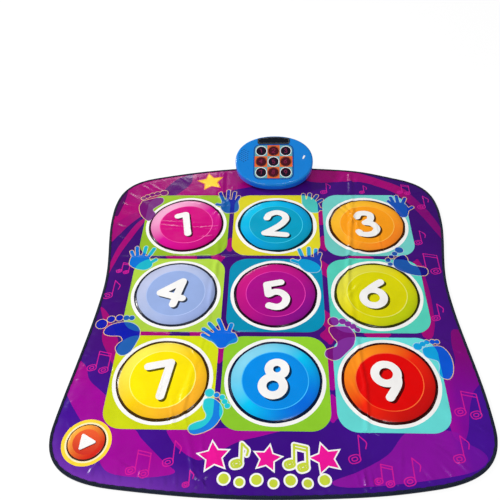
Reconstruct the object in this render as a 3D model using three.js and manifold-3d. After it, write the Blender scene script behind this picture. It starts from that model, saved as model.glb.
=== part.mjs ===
// A child's electronic dance mat: a layered, printed floor mat with ten press pads,
// and a tilted control pod fastened over the middle of its far edge.
// Millimetres, +Z up, +Y towards the pod. The origin lies on the floor under the centre of pad 5.

import * as THREE from 'three';
import { mergeVertices } from 'three/addons/utils/BufferGeometryUtils.js';
import Module from 'manifold-3d';

const wasm = await Module();
wasm.setup();

// Fits
const clearance = 0.3;
const slidingClearance = 0.4;
const overrun = 5;

// Mat layers, from the floor up
const bottomSkin = 0.8;
const film = 0.3;
const foam = 2.2;
const topSkin = 0.8;

// Press pads, nine on a square grid
const padRadius = 98;
const padGap = 44;
const padCrown = 2.5;
const padContactMargin = 6;
const padFacets = 24;
const crownShares = [[1, 0], [0.96, 0.5], [0.88, 0.88], [0.74, 1]];

// Mat outline, right half: margins outside the outer pads, then where it bends
const nearMargin = 156;
const farMargin = 147;
const nearSideMargin = 104;
const waistMargin = 78;
const farSideMargin = 108;
const nearBendInset = 142;
const nearBendSag = 16;
const nearCornerDrop = 144;
const waistY = 20;
const farCornerDrop = 195;
const farBendInset = 96;
const farBendSag = 49;
const nearSlope = THREE.MathUtils.degToRad(7);
const farSlope = THREE.MathUtils.degToRad(15);
const cornerPullShare = 0.45;
const edgePullShare = 0.34;
const cornerSteps = 7;
const edgeSteps = 5;

// Edge binding
const bindingWall = 2.6;
const bindingLap = 9;
const bindingTape = 0.8;
const bindingRoll = 1.4;
const layerInset = 14;

// Start pad, in the near left corner
const startPadRadius = 39.5;
const startPadSideMargin = 69;
const startPadNearMargin = 107;

// Pod shell: an oval face, tilted towards the player, with a skirt square to it.
// Its half sizes are half the light panel's, with room at the sides and at the ends.
const podX = -6;
const podLap = 111;
const podTilt = THREE.MathUtils.degToRad(22);
const podSideRoom = 56;
const podEndRoom = 27;
const podSkirt = 25;
const podLipGap = 2;
const podEdgeRadius = 6;
const podWall = 2.5;
const podOvalPower = 2.18;
const podFacets = 40;
const podEdgeShares = [[0, 1], [0.16, 0.42], [0.52, 0.1], [1, 0]];

// Pod base: a wedge under the shell with a flat back wall
const flange = 2.4;
const baseStep = 14;
const baseGap = 1.4;
const baseBackCut = 8.6;
const baseWall = 2.4;
const postRadius = 3;
const smallFacets = 12;
const roundingFacets = 4;

// Light panel on the pod's face
const panelX = -1.7;
const panelY = -5.6;
const panelMargin = 6.4;
const panelCorner = 15;
const panelThickness = 1.6;
const panelRecess = 1;
const panelLedge = 4;
const windowGap = 8.9;
const windowRadius = 12.9;
const windowFlange = 1.3;
const windowRise = 0.9;
const windowDepth = 1.4;
const windowFacets = 16;

// Badge plate behind the panel, bare
const badgeHalfWidth = 43;
const badgeGap = 5.1;
const badgeEdgeMargin = 6;
const badgeCorner = 6;
const badgeThickness = 1;
const badgeSteps = 6;

// Power light, a slanting capsule
const powerLightMargin = 26;
const powerLightY = 9;
const powerLightLength = 12;
const powerLightRadius = 2.3;
const powerLightLean = THREE.MathUtils.degToRad(-26);
const powerLightRise = 0.7;

// Speaker and its grille of small holes
const speakerGap = 5.5;
const speakerY = 11;
const speakerRadius = 17;
const speakerMagnetRadius = 8;
const speakerRim = 0.8;
const speakerBasket = 4;
const speakerMagnet = 5;
const speakerFacets = 16;
const grillePitch = 5.2;
const grilleHoleRadius = 1.2;
const grilleHalfWidth = 14;
const grilleHalfHeight = 21;
const grilleHoleFacets = 6;

// Boards
const boardThickness = 1.6;
const ledBoardDepth = 10;
const ledBoardMargin = 6;
const ledPostInset = 3;
const ledChip = 5;
const ledChipRise = 2;
const mainBoardWidth = 90;
const mainBoardRise = 6;
const mainBoardFarGap = 5;
const mainChipWidth = 16;
const mainChipRise = 2;

// Ribbon that joins the contact films to the main board
const ribbonWidth = 26;
const ribbonGap = 12;
const ribbonFoot = 11;
const ribbonReach = 17;
const slotMargin = 2;
const slotDepth = 8;

// Mounting plate inside the mat
const plateLipGap = 24;
const plateDepth = 40;
const mountScrewSpacing = 76;
const mountScrewSideMargin = 12;
const mountScrewNearMargin = 14;
const mountBossRadius = 5;
const mountBossRise = 6;

// Screws
const screwRadius = 1.2;
const screwHeadRadius = 2.4;
const screwHead = 1.3;
const mountScrewLength = 9;
const caseScrewLength = 12;
const caseScrewMargin = 30;
const caseBossRadius = 3.3;

// Batteries and their bay
const batteryRadius = 7.25;
const batteryLength = 50.5;
const batteryTip = 1.2;
const batteryTipRadius = 2.6;
const batteryCount = 3;
const batteryFacets = 12;
const contactPlate = 1;
const bayX = -16;
const bayWall = 1.8;

// Battery door on the back wall, hinged along its lower edge
const doorThickness = 2.2;
const doorLap = 4;
const doorTopLap = 5.2;
const doorFootLap = 1.5;
const doorCorner = 3;
const doorGripDepth = 1.2;
const doorGripWidth = 30;
const doorGripCount = 3;
const doorGripPitch = 4;
const doorScrewBite = 3;

// Power switch on the back wall, off at rest
const switchGap = 15.95;
const switchRise = 24;
const switchTravel = 8;
const knobWidth = 5;
const knobHeight = 5;
const knobProud = 3;
const knobPlate = 1.2;
const knobPlateLap = 2;
const switchBodyDepth = 6;

// Rubber feet under the pod's overhang
const footSpacing = 96;
const footGap = 7;
const footRadius = 7;
const footFacets = 16;

// Heights and places worked out from the sizes above
const lowerFilmZ = bottomSkin + clearance;
const foamZ = lowerFilmZ + film + clearance;
const upperFilmZ = foamZ + foam + clearance;
const topSkinZ = upperFilmZ + film + clearance;
const matTop = topSkinZ + topSkin;
const bindingTop = matTop + clearance + bindingTape;
const skinInset = bindingWall + clearance;
const padPitch = 2 * padRadius + padGap;
const padReach = padPitch + padRadius;
const nearReach = padReach + nearMargin;
const farReach = padReach + farMargin;
const nearCornerX = padReach + nearSideMargin;
const farCornerX = padReach + farSideMargin;
const startPadX = startPadSideMargin - nearCornerX;
const startPadY = startPadNearMargin - nearReach;
const windowNumbers = [1, 2, 3, 4, 5, 6, 7, 8, 9];
const windowPitch = 2 * windowRadius + windowGap;
const panelWidth = 2 * (windowPitch + windowRadius + panelMargin);
const podHalfWidth = panelWidth / 2 + podSideRoom;
const podHalfDepth = panelWidth / 2 + podEndRoom;
const badgeNearY = panelY + panelWidth / 2 + badgeGap;
const powerLightX = podHalfWidth - powerLightMargin;
const speakerX = speakerRadius + speakerGap + podWall - podHalfWidth;
const caseScrewX = podHalfWidth - caseScrewMargin;
const podLipY = farReach - podLap;
const podFaceY = podLipY + podHalfDepth * Math.cos(podTilt);
const baseY = podFaceY + podSkirt * Math.sin(podTilt);
const baseBackY = baseY + (podHalfDepth - baseStep) * Math.cos(podTilt) - baseBackCut;
const baseRise = matTop + baseGap;
const baseFloorTop = baseRise + baseWall;
const batteryY = baseBackY - baseWall - clearance - batteryRadius;
const batteryPitch = 2 * batteryRadius + clearance;
const bayHalfWidth = batteryLength / 2 + batteryTip + contactPlate + 2 * clearance;
const bayTop = baseFloorTop + clearance + batteryCount * batteryPitch;
const doorTop = bayTop + doorTopLap;
const switchX = bayX + bayHalfWidth + doorLap + switchGap;
const plateWidth = mountScrewSpacing + 2 * mountScrewSideMargin;
const plateNearY = podLipY + plateLipGap;
const mountScrewY = plateNearY + mountScrewNearMargin;
const ribbonY = plateNearY + plateDepth + ribbonGap;
const footY = farReach + footGap + footRadius;

// The pod's lip clears the mat, and its rim clears the battery door
const rimRiseAtDoor = podHalfDepth * Math.sin(podTilt)
  + (baseBackY + clearance - baseY) * Math.tan(podTilt);
const podLipRise = Math.max(matTop + podLipGap, doorTop + clearance - rimRiseAtDoor);
const podFaceZ = podLipRise + podSkirt * Math.cos(podTilt) + podHalfDepth * Math.sin(podTilt);

// Colours
const colours = {
  backing: 0x1a1330,
  print: 0x4b1496,
  binding: 0x15182f,
  film: 0xd9d4c4,
  foam: 0xe8e6e0,
  contact: 0x3a3a40,
  podBlue: 0x0a7bd6,
  podBase: 0x0a55b4,
  panel: 0xe06a2c,
  lens: 0x1c1420,
  badge: 0x10131c,
  white: 0xf2f2f2,
  board: 0x1d6b3a,
  metal: 0xb9bcc2,
  battery: 0x2d6f5c,
  rubber: 0x1b1b1d,
};
const padColours = [
  0xe2007f, 0x00a3c4, 0xf79a1e, 0x93aee6, 0xa8188a,
  0xd7d614, 0xfde80c, 0x008aea, 0xe31a12, 0xd9301f,
];

const model = new THREE.Group();
const podFrame = new THREE.Group();
podFrame.position.set(podX, podFaceY, podFaceZ);
podFrame.rotation.x = podTilt;
podFrame.updateMatrix();
model.add(podFrame);

function addPiece(parent, name, geometry, colour, roughness = 0.6, metalness = 0) {
  const material = new THREE.MeshStandardMaterial({ color: colour, roughness, metalness });
  const piece = new THREE.Mesh(geometry, material);
  piece.name = name;
  parent.add(piece);
}

// A closed geometry as a solid that can be cut and joined
function solid(geometry) {
  const bare = new THREE.BufferGeometry();
  bare.setAttribute('position', geometry.getAttribute('position'));
  bare.setIndex(geometry.getIndex());
  const merged = mergeVertices(bare);
  const index = merged.getIndex().array;
  const triangles = [];
  for (let i = 0; i < index.length; i += 3) {
    const [a, b, c] = index.slice(i, i + 3);
    if (a !== b && b !== c && c !== a) triangles.push(a, b, c);
  }
  return new wasm.Manifold(new wasm.Mesh({
    numProp: 3,
    vertProperties: merged.getAttribute('position').array,
    triVerts: new Uint32Array(triangles),
  }));
}

function surface(body) {
  const mesh = body.getMesh();
  const geometry = new THREE.BufferGeometry();
  geometry.setAttribute('position', new THREE.BufferAttribute(mesh.vertProperties, 3));
  geometry.setIndex(new THREE.BufferAttribute(mesh.triVerts, 1));
  return geometry;
}

function joined(pieces) {
  return pieces.reduce((whole, piece) => whole.add(piece));
}

function cut(body, tools) {
  return tools.reduce((left, tool) => left.subtract(tool), body);
}

// A block from its lowest corner to its highest
function block(low, high) {
  const size = high.map((value, axis) => value - low[axis]);
  const geometry = new THREE.BoxGeometry(...size);
  return geometry.translate(...low.map((value, axis) => value + size[axis] / 2));
}

function circlePoints(x, y, radius, facets) {
  const points = [];
  for (let i = 0; i < facets; i += 1) {
    const angle = (i / facets) * 2 * Math.PI;
    points.push(new THREE.Vector2(x + radius * Math.cos(angle), y + radius * Math.sin(angle)));
  }
  return points;
}

function rectanglePoints(x, y, width, depth) {
  return [[-1, -1], [1, -1], [1, 1], [-1, 1]].map(
    ([sideX, sideY]) => new THREE.Vector2(x + (sideX * width) / 2, y + (sideY * depth) / 2));
}

function roundedPoints(x, y, width, depth, corner) {
  const points = [];
  [[1, 1], [-1, 1], [-1, -1], [1, -1]].forEach(([sideX, sideY], quarter) => {
    const centreX = x + sideX * (width / 2 - corner);
    const centreY = y + sideY * (depth / 2 - corner);
    for (let i = 0; i <= roundingFacets; i += 1) {
      const angle = (quarter + i / roundingFacets) * (Math.PI / 2);
      points.push(new THREE.Vector2(
        centreX + corner * Math.cos(angle), centreY + corner * Math.sin(angle)));
    }
  });
  return points;
}

// A flat plate of any outline, with holes, standing on the height given
function plate(outline, holes, bottom, thickness) {
  const shape = new THREE.Shape(outline);
  shape.holes = holes.map((points) => new THREE.Path(points));
  const geometry = new THREE.ExtrudeGeometry(shape, { depth: thickness, bevelEnabled: false });
  return geometry.translate(0, 0, bottom);
}

// A turned piece about a vertical axis; its profile is a list of radius and height
function turned(x, y, profile, facets) {
  const points = profile.map(([radius, height]) => new THREE.Vector2(radius, height));
  const geometry = new THREE.LatheGeometry(points, facets);
  return surface(solid(geometry.rotateX(Math.PI / 2))).translate(x, y, 0);
}

function rod(x, y, bottom, top, radius, facets = smallFacets) {
  return turned(x, y, [[0, bottom], [radius, bottom], [radius, top], [0, top]], facets);
}

// Rows of points joined into one closed skin; the rows close on themselves, or are capped
function skinOver(rows, loopsBack) {
  const count = rows[0].length;
  const positions = rows.flat().flatMap((point) => [point.x, point.y, point.z]);
  const index = [];
  const lastRow = loopsBack ? rows.length : rows.length - 1;
  for (let row = 0; row < lastRow; row += 1) {
    const here = row * count;
    const next = ((row + 1) % rows.length) * count;
    for (let i = 0; i < count; i += 1) {
      const j = (i + 1) % count;
      index.push(here + i, here + j, next + j, here + i, next + j, next + i);
    }
  }
  if (!loopsBack) {
    const top = (rows.length - 1) * count;
    for (let i = 1; i < count - 1; i += 1) {
      index.push(0, i + 1, i, top, top + i, top + i + 1);
    }
  }
  const geometry = new THREE.BufferGeometry();
  geometry.setAttribute('position', new THREE.Float32BufferAttribute(positions, 3));
  geometry.setIndex(index);
  return geometry;
}

// Mat outline, anticlockwise from the middle of the near edge, moved inwards by inset
function matOutline(inset) {
  const stations = [
    { x: 0, y: -nearReach, heading: 0 },
    { x: nearCornerX - nearBendInset, y: nearBendSag - nearReach, heading: nearSlope },
    { x: nearCornerX, y: nearCornerDrop - nearReach, heading: Math.PI / 2 },
    { x: padReach + waistMargin, y: waistY, heading: Math.PI / 2 },
    { x: farCornerX, y: farReach - farCornerDrop, heading: Math.PI / 2 },
    {
      x: farCornerX - farBendInset,
      y: farReach - farBendSag,
      heading: Math.PI - farSlope,
    },
    { x: 0, y: farReach, heading: Math.PI },
  ];
  const half = [];
  for (let span = 0; span < stations.length - 1; span += 1) {
    const from = stations[span];
    const to = stations[span + 1];
    const isCorner = span === 1 || span === 4;
    const start = new THREE.Vector2(from.x, from.y);
    const end = new THREE.Vector2(to.x, to.y);
    const pull = start.distanceTo(end) * (isCorner ? cornerPullShare : edgePullShare);
    const leave = new THREE.Vector2(Math.cos(from.heading), Math.sin(from.heading));
    const arrive = new THREE.Vector2(Math.cos(to.heading), Math.sin(to.heading));
    const curve = new THREE.CubicBezierCurve(
      start,
      start.clone().addScaledVector(leave, pull),
      end.clone().addScaledVector(arrive, -pull),
      end);
    const steps = isCorner ? cornerSteps : edgeSteps;
    for (let i = 0; i < steps; i += 1) {
      const point = curve.getPoint(i / steps);
      const along = curve.getTangent(i / steps);
      half.push(new THREE.Vector2(point.x - along.y * inset, point.y + along.x * inset));
    }
  }
  const far = new THREE.Vector2(0, farReach - inset);
  const mirrored = half.slice(1).reverse().map((point) => new THREE.Vector2(-point.x, point.y));
  return [...half, far, ...mirrored];
}

function padList() {
  const pads = windowNumbers.map((number, order) => ({
    name: `pad_${number}`,
    x: ((order % 3) - 1) * padPitch,
    y: (1 - Math.floor(order / 3)) * padPitch,
    radius: padRadius,
    colour: padColours[order],
  }));
  pads.push({
    name: 'start_pad',
    x: startPadX,
    y: startPadY,
    radius: startPadRadius,
    colour: padColours[windowNumbers.length],
  });
  return pads;
}

const pads = padList();

function padHoles(margin, facets) {
  return pads.map((pad) => circlePoints(pad.x, pad.y, pad.radius + margin, facets));
}

const ribbonSlot = rectanglePoints(
  podX, ribbonY, ribbonWidth + 2 * slotMargin, slotDepth);
const mountScrewPlaces = [-1, 1].map((side) => [podX + (side * mountScrewSpacing) / 2, mountScrewY]);

// The window in the foam and upper film that holds the mounting plate and the ribbon's foot
function plateWindow() {
  const nearY = plateNearY - slidingClearance;
  const farY = ribbonY + ribbonFoot + slidingClearance;
  return rectanglePoints(
    podX, (nearY + farY) / 2, plateWidth + 2 * slidingClearance, farY - nearY);
}

function addMatLayers() {
  const skinEdge = matOutline(skinInset);
  const layerEdge = matOutline(layerInset);
  const screwHoles = mountScrewPlaces.map(
    ([x, y]) => circlePoints(x, y, screwRadius + 2 * slidingClearance, smallFacets));
  const topHoles = [...padHoles(0, padFacets), ...screwHoles, ribbonSlot];
  const foamHoles = [...padHoles(clearance, padFacets), plateWindow()];
  addPiece(model, 'bottom_skin', plate(skinEdge, [], 0, bottomSkin), colours.backing, 0.8);
  addPiece(model, 'lower_contact_film', plate(layerEdge, [], lowerFilmZ, film), colours.film, 0.4);
  addPiece(model, 'spacer_foam', plate(layerEdge, foamHoles, foamZ, foam), colours.foam, 0.95);
  addPiece(
    model, 'upper_contact_film', plate(layerEdge, foamHoles, upperFilmZ, film), colours.film, 0.4);
  addPiece(model, 'top_skin', plate(skinEdge, topHoles, topSkinZ, topSkin), colours.print, 0.35);
}

// Bias tape sewn round the edge: a wall outside the skins and a lap over the top one
function addBinding() {
  const underLap = matTop + clearance;
  const profile = [
    [bindingWall, 0],
    [bindingRoll, 0],
    [0, bindingRoll],
    [0, bindingTop - bindingRoll],
    [bindingRoll, bindingTop],
    [bindingLap, bindingTop],
    [bindingLap, underLap],
    [bindingWall, underLap],
  ];
  const rows = profile.map(([inset, height]) => matOutline(inset).map(
    (point) => new THREE.Vector3(point.x, point.y, height)));
  addPiece(model, 'edge_binding', skinOver(rows, true), colours.binding, 0.85);
}

// A pad is a crowned cover with a contact disc under it; both sink when it is pressed
function addPad(pad) {
  const edge = pad.radius - slidingClearance;
  const crown = crownShares.map(
    ([radiusShare, riseShare]) => [edge * radiusShare, matTop + padCrown * riseShare]);
  const cover = [[0, topSkinZ], [edge, topSkinZ], ...crown, [0, matTop + padCrown]];
  const disc = rod(
    pad.x, pad.y, upperFilmZ, upperFilmZ + film, pad.radius - padContactMargin, padFacets);
  addPiece(model, `${pad.name}_cover`, turned(pad.x, pad.y, cover, padFacets), pad.colour, 0.35);
  addPiece(model, `${pad.name}_contact`, disc, colours.contact, 0.4);
}

// Points on the pod's oval, drawn in by inset, in the plane of its face
function ovalPoints(inset) {
  const points = [];
  for (let i = 0; i < podFacets; i += 1) {
    const angle = (i / podFacets) * 2 * Math.PI;
    const across = Math.cos(angle);
    const along = Math.sin(angle);
    const power = 2 / podOvalPower;
    points.push(new THREE.Vector2(
      (podHalfWidth - inset) * Math.sign(across) * Math.abs(across) ** power,
      (podHalfDepth - inset) * Math.sign(along) * Math.abs(along) ** power));
  }
  return points;
}

function ovalDepthAt(x, inset) {
  const share = Math.abs(x) / (podHalfWidth - inset);
  return (podHalfDepth - inset) * (1 - share ** podOvalPower) ** (1 / podOvalPower);
}

function ovalRow(inset, height) {
  return ovalPoints(inset).map((point) => new THREE.Vector3(point.x, point.y, height));
}

function podShell(inset, bottom, lowered) {
  const rows = [ovalRow(inset, bottom)];
  podEdgeShares.forEach(([insetShare, dropShare]) => {
    rows.push(ovalRow(
      inset + podEdgeRadius * insetShare, -lowered - podEdgeRadius * dropShare));
  });
  return solid(skinOver(rows, false));
}

function panelOutline(margin) {
  return roundedPoints(
    panelX, panelY, panelWidth + 2 * margin, panelWidth + 2 * margin, panelCorner + margin);
}

function windowPlaces() {
  return windowNumbers.map((number, order) => ({
    number,
    x: panelX + ((order % 3) - 1) * windowPitch,
    y: panelY + (1 - Math.floor(order / 3)) * windowPitch,
  }));
}

// Small holes on a grid turned by an eighth of a turn, kept inside an oval
function grilleHoles() {
  const holes = [];
  const reach = Math.ceil(grilleHalfHeight / grillePitch);
  for (let row = -2 * reach; row <= 2 * reach; row += 1) {
    for (let column = -2 * reach; column <= 2 * reach; column += 1) {
      const x = ((column + row) * grillePitch) / Math.SQRT2;
      const y = ((column - row) * grillePitch) / Math.SQRT2;
      if (Math.hypot(x / grilleHalfWidth, y / grilleHalfHeight) <= 1) {
        holes.push(solid(rod(
          speakerX + x, speakerY + y, -podWall - overrun, overrun,
          grilleHoleRadius, grilleHoleFacets)));
      }
    }
  }
  return holes;
}

function capsulePoints(margin) {
  const radius = powerLightRadius + margin;
  const reach = powerLightLength / 2 - powerLightRadius;
  const points = [];
  [1, -1].forEach((end) => {
    for (let i = 0; i <= roundingFacets; i += 1) {
      const angle = (end > 0 ? 0 : Math.PI) + (i / roundingFacets) * Math.PI;
      points.push(new THREE.Vector2(
        radius * Math.cos(angle), end * reach + radius * Math.sin(angle)));
    }
  });
  const place = new THREE.Vector2(powerLightX, powerLightY);
  const centre = new THREE.Vector2(0, 0);
  return points.map((point) => point.rotateAround(centre, powerLightLean).add(place));
}

const caseScrewPlaces = [-1, 1].map((side) => {
  const midFlange = (baseStep + podWall) / 2;
  return [side * caseScrewX, -ovalDepthAt(caseScrewX, midFlange)];
});

function addUpperCase() {
  const inside = podShell(podWall, -podSkirt - overrun, podWall);
  const shell = podShell(0, -podSkirt, 0).subtract(inside);
  const ledReach = panelWidth / 2 + ledPostInset - panelLedge / 2;
  const ledPosts = [[-1, -1], [1, -1], [1, 1], [-1, 1]].map(([sideX, sideY]) => solid(rod(
    panelX + sideX * ledReach, panelY + sideY * (ledReach - 2 * postRadius),
    -ledBoardDepth, -podWall / 2, postRadius)));
  const bosses = caseScrewPlaces.map(([x, y]) => solid(rod(
    x, y, flange + clearance - podSkirt, -podWall / 2, caseBossRadius)));
  const screwHoles = caseScrewPlaces.map(([x, y]) => solid(rod(
    x, y, -podSkirt - overrun, caseScrewLength + clearance - podSkirt,
    screwRadius + clearance)));
  const recess = solid(plate(panelOutline(clearance), [], -panelRecess, overrun));
  const opening = solid(plate(panelOutline(-panelLedge), [], -podWall - overrun, 2 * overrun));
  const lightHole = solid(plate(capsulePoints(clearance), [], -podWall - overrun, 3 * overrun));
  const whole = joined([shell, ...ledPosts, ...bosses]);
  const body = cut(whole, [...screwHoles, recess, opening, lightHole, ...grilleHoles()]);
  addPiece(podFrame, 'upper_case', surface(body), colours.podBlue, 0.3);
}

function addFace() {
  const holes = windowPlaces().map(
    (place) => circlePoints(place.x, place.y, windowRadius + clearance, windowFacets));
  const bottom = clearance - panelRecess;
  const top = bottom + panelThickness;
  addPiece(
    podFrame, 'face_panel', plate(panelOutline(0), holes, bottom, panelThickness),
    colours.panel, 0.35);
  windowPlaces().forEach(({ number, x, y }) => {
    const ledge = bottom - clearance;
    const wide = windowRadius + windowFlange;
    const profile = [
      [0, ledge - windowDepth],
      [wide, ledge - windowDepth],
      [wide, ledge],
      [windowRadius, ledge],
      [windowRadius, top],
      [windowRadius - windowRise, top + windowRise],
      [0, top + windowRise],
    ];
    addPiece(
      podFrame, `light_window_${number}`, turned(x, y, profile, windowFacets), colours.lens, 0.1);
  });
  const badge = [
    new THREE.Vector2(panelX - badgeHalfWidth, badgeNearY + badgeCorner),
    new THREE.Vector2(panelX - badgeHalfWidth + badgeCorner, badgeNearY),
    new THREE.Vector2(panelX + badgeHalfWidth - badgeCorner, badgeNearY),
    new THREE.Vector2(panelX + badgeHalfWidth, badgeNearY + badgeCorner),
  ];
  for (let i = 0; i <= badgeSteps; i += 1) {
    const x = panelX + badgeHalfWidth * (1 - (2 * i) / badgeSteps);
    badge.push(new THREE.Vector2(x, ovalDepthAt(x, badgeEdgeMargin)));
  }
  addPiece(podFrame, 'badge_plate', plate(badge, [], clearance, badgeThickness), colours.badge, 0.3);
  const lightHeight = podWall + clearance + powerLightRise;
  addPiece(
    podFrame, 'power_light_lens',
    plate(capsulePoints(0), [], -podWall - clearance, lightHeight), colours.white, 0.2);
}

function addSpeaker() {
  const top = -podWall - clearance;
  const profile = [
    [0, top - speakerBasket - speakerMagnet],
    [speakerMagnetRadius, top - speakerBasket - speakerMagnet],
    [speakerMagnetRadius, top - speakerBasket],
    [speakerRadius, top - speakerRim],
    [speakerRadius, top],
    [0, top],
  ];
  addPiece(
    podFrame, 'speaker', turned(speakerX, speakerY, profile, speakerFacets), colours.contact, 0.5);
}

function addLedBoard() {
  const top = -ledBoardDepth - clearance;
  const half = panelWidth / 2 + ledBoardMargin - panelLedge / 2;
  const board = solid(block(
    [panelX - half, panelY - half + 2 * postRadius, top - boardThickness],
    [panelX + half, panelY + half - 2 * postRadius, top]));
  const chips = windowPlaces().map(({ x, y }) => solid(block(
    [x - ledChip / 2, y - ledChip / 2, top - boardThickness / 2],
    [x + ledChip / 2, y + ledChip / 2, top + ledChipRise])));
  addPiece(podFrame, 'led_board', surface(joined([board, ...chips])), colours.board, 0.5);
}

// The base's plan, in the mat's frame: the oval seen from above, flat at the back
function basePlan(inset) {
  return ovalPoints(baseStep + inset).map((point) => new THREE.Vector2(
    podX + point.x,
    Math.min(baseY + point.y * Math.cos(podTilt), baseBackY - inset)));
}

// Everything over the plane of the shell's lower rim
function overRim() {
  const reach = 2 * podHalfWidth;
  const geometry = block(
    [-reach, -reach, flange / 2 - podSkirt], [reach, reach, reach]);
  return solid(geometry.applyMatrix4(podFrame.matrix));
}

function addLowerCase() {
  const tall = podFaceZ + podHalfDepth;
  const above = overRim();
  const wedge = solid(plate(basePlan(0), [], baseRise, tall)).subtract(above);
  const rim = plate(ovalPoints(podWall + clearance), [], -podSkirt, flange);
  const flangePlate = solid(rim.applyMatrix4(podFrame.matrix));
  const hollow = solid(plate(basePlan(baseWall), [], baseFloorTop, tall));
  const shell = wedge.add(flangePlate).subtract(hollow);
  const bayLow = podX + bayX - bayHalfWidth;
  const bayHigh = podX + bayX + bayHalfWidth;
  const partitionY = batteryY - batteryRadius - clearance;
  const bayWalls = solid(block(
    [bayLow - bayWall, partitionY - bayWall, baseRise + baseWall / 2],
    [bayHigh + bayWall, baseBackY - baseWall / 2, bayTop])).subtract(above);
  const bayInside = solid(block(
    [bayLow, partitionY, baseFloorTop], [bayHigh, baseBackY + overrun, bayTop]));
  const bayAbove = solid(block(
    [bayLow, partitionY, bayTop - overrun], [bayHigh, baseBackY - baseWall, bayTop + overrun]));
  const mountBosses = mountScrewPlaces.map(([x, y]) => solid(rod(
    x, y, matTop + clearance, baseFloorTop + mountBossRise, mountBossRadius)));
  const mountHoles = mountScrewPlaces.map(([x, y]) => solid(rod(
    x, y, 0, baseFloorTop + mountBossRise - baseWall / 2, screwRadius + clearance)));
  const boardPosts = [-1, 1].map((side) => solid(rod(
    podX + side * (mainBoardWidth / 2 - postRadius), ribbonY + 3 * postRadius,
    baseRise + baseWall / 2, baseFloorTop + mainBoardRise, postRadius)));
  const caseHoles = caseScrewPlaces.map(([x, y]) => {
    const hole = rod(
      x, y, -podSkirt - overrun, flange + overrun - podSkirt, screwRadius + clearance);
    return solid(hole.applyMatrix4(podFrame.matrix));
  });
  const slot = solid(plate(ribbonSlot, [], 0, baseFloorTop + overrun));
  const doorHole = rod(
    0, 0, baseBackY - doorScrewBite - 2 * clearance, baseBackY + overrun,
    screwRadius + 2 * slidingClearance);
  const doorHoleTool = solid(placedOnBack(doorHole, podX + bayX, doorScrewHeight()));
  const knobSlot = solid(block(
    [podX + switchX - knobWidth / 2 - clearance, baseBackY - baseWall - overrun,
      baseRise + switchRise - knobHeight / 2 - clearance],
    [podX + switchX + knobWidth / 2 + switchTravel + clearance, baseBackY + overrun,
      baseRise + switchRise + knobHeight / 2 + clearance]));
  const whole = joined([shell, bayWalls, ...mountBosses, ...boardPosts]);
  const body = cut(whole, [
    bayInside, bayAbove, ...mountHoles, ...caseHoles, slot, doorHoleTool, knobSlot]);
  addPiece(model, 'lower_case', surface(body), colours.podBase, 0.5);
}

// Turns a rod that stands along Z so that it lies along Y at a place on the back wall
function placedOnBack(geometry, x, z) {
  return geometry.rotateX(-Math.PI / 2).translate(x, 0, z);
}

function doorScrewHeight() {
  return bayTop + doorTopLap / 2;
}

function addBatteryDoor() {
  const nearY = baseBackY + clearance;
  const low = baseFloorTop - doorFootLap;
  const high = doorTop;
  const width = 2 * (bayHalfWidth + doorLap);
  const centreZ = (low + high) / 2;
  const leaf = plate(
    roundedPoints(0, 0, width, high - low, doorCorner), [], 0, doorThickness);
  leaf.rotateX(Math.PI / 2).translate(podX + bayX, nearY + doorThickness, centreZ);
  const grips = [];
  for (let i = 0; i < doorGripCount; i += 1) {
    const z = centreZ + (i - (doorGripCount - 1) / 2) * doorGripPitch;
    grips.push(solid(block(
      [podX + bayX - doorGripWidth / 2, nearY + doorThickness / 2, z - doorGripDepth / 2],
      [podX + bayX + doorGripWidth / 2, nearY + doorThickness + doorGripDepth,
        z + doorGripDepth / 2])));
  }
  const screwHole = solid(placedOnBack(
    rod(0, 0, nearY - overrun, nearY + overrun + doorThickness, screwRadius + clearance),
    podX + bayX, doorScrewHeight()));
  const body = cut(joined([solid(leaf), ...grips]), [screwHole]);
  addPiece(model, 'battery_door', surface(body), colours.podBase, 0.5);
  const outer = nearY + doorThickness + clearance;
  const screw = turned(0, 0, [
    [0, baseBackY - doorScrewBite],
    [screwRadius, baseBackY - doorScrewBite],
    [screwRadius, outer],
    [screwHeadRadius, outer],
    [screwHeadRadius, outer + screwHead],
    [0, outer + screwHead],
  ], smallFacets);
  addPiece(
    model, 'door_screw', placedOnBack(screw, podX + bayX, doorScrewHeight()),
    colours.metal, 0.3, 0.9);
}

function addBatteries() {
  for (let i = 0; i < batteryCount; i += 1) {
    const z = baseFloorTop + clearance + batteryRadius + i * batteryPitch;
    const side = i % 2 === 0 ? 1 : -1;
    const end = batteryLength / 2;
    const cell = turned(0, 0, [
      [0, -end],
      [batteryRadius, -end],
      [batteryRadius, end],
      [batteryTipRadius, end],
      [batteryTipRadius, end + batteryTip],
      [0, end + batteryTip],
    ], batteryFacets);
    cell.rotateY((side * Math.PI) / 2).translate(podX + bayX, batteryY, z);
    addPiece(model, `battery_${i + 1}`, cell, colours.battery, 0.4);
  }
  const contactLow = baseFloorTop + clearance;
  const contactHigh = contactLow + (batteryCount - 1) * batteryPitch + batteryRadius;
  [['battery_contact_left', -1], ['battery_contact_right', 1]].forEach(([name, side]) => {
    const inner = podX + bayX + side * (bayHalfWidth - clearance - contactPlate);
    const outer = podX + bayX + side * (bayHalfWidth - clearance);
    const contact = block(
      [Math.min(inner, outer), batteryY - batteryRadius, contactLow],
      [Math.max(inner, outer), batteryY + batteryRadius / 2, contactHigh]);
    addPiece(model, name, contact, colours.metal, 0.25, 0.9);
  });
}

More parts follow.
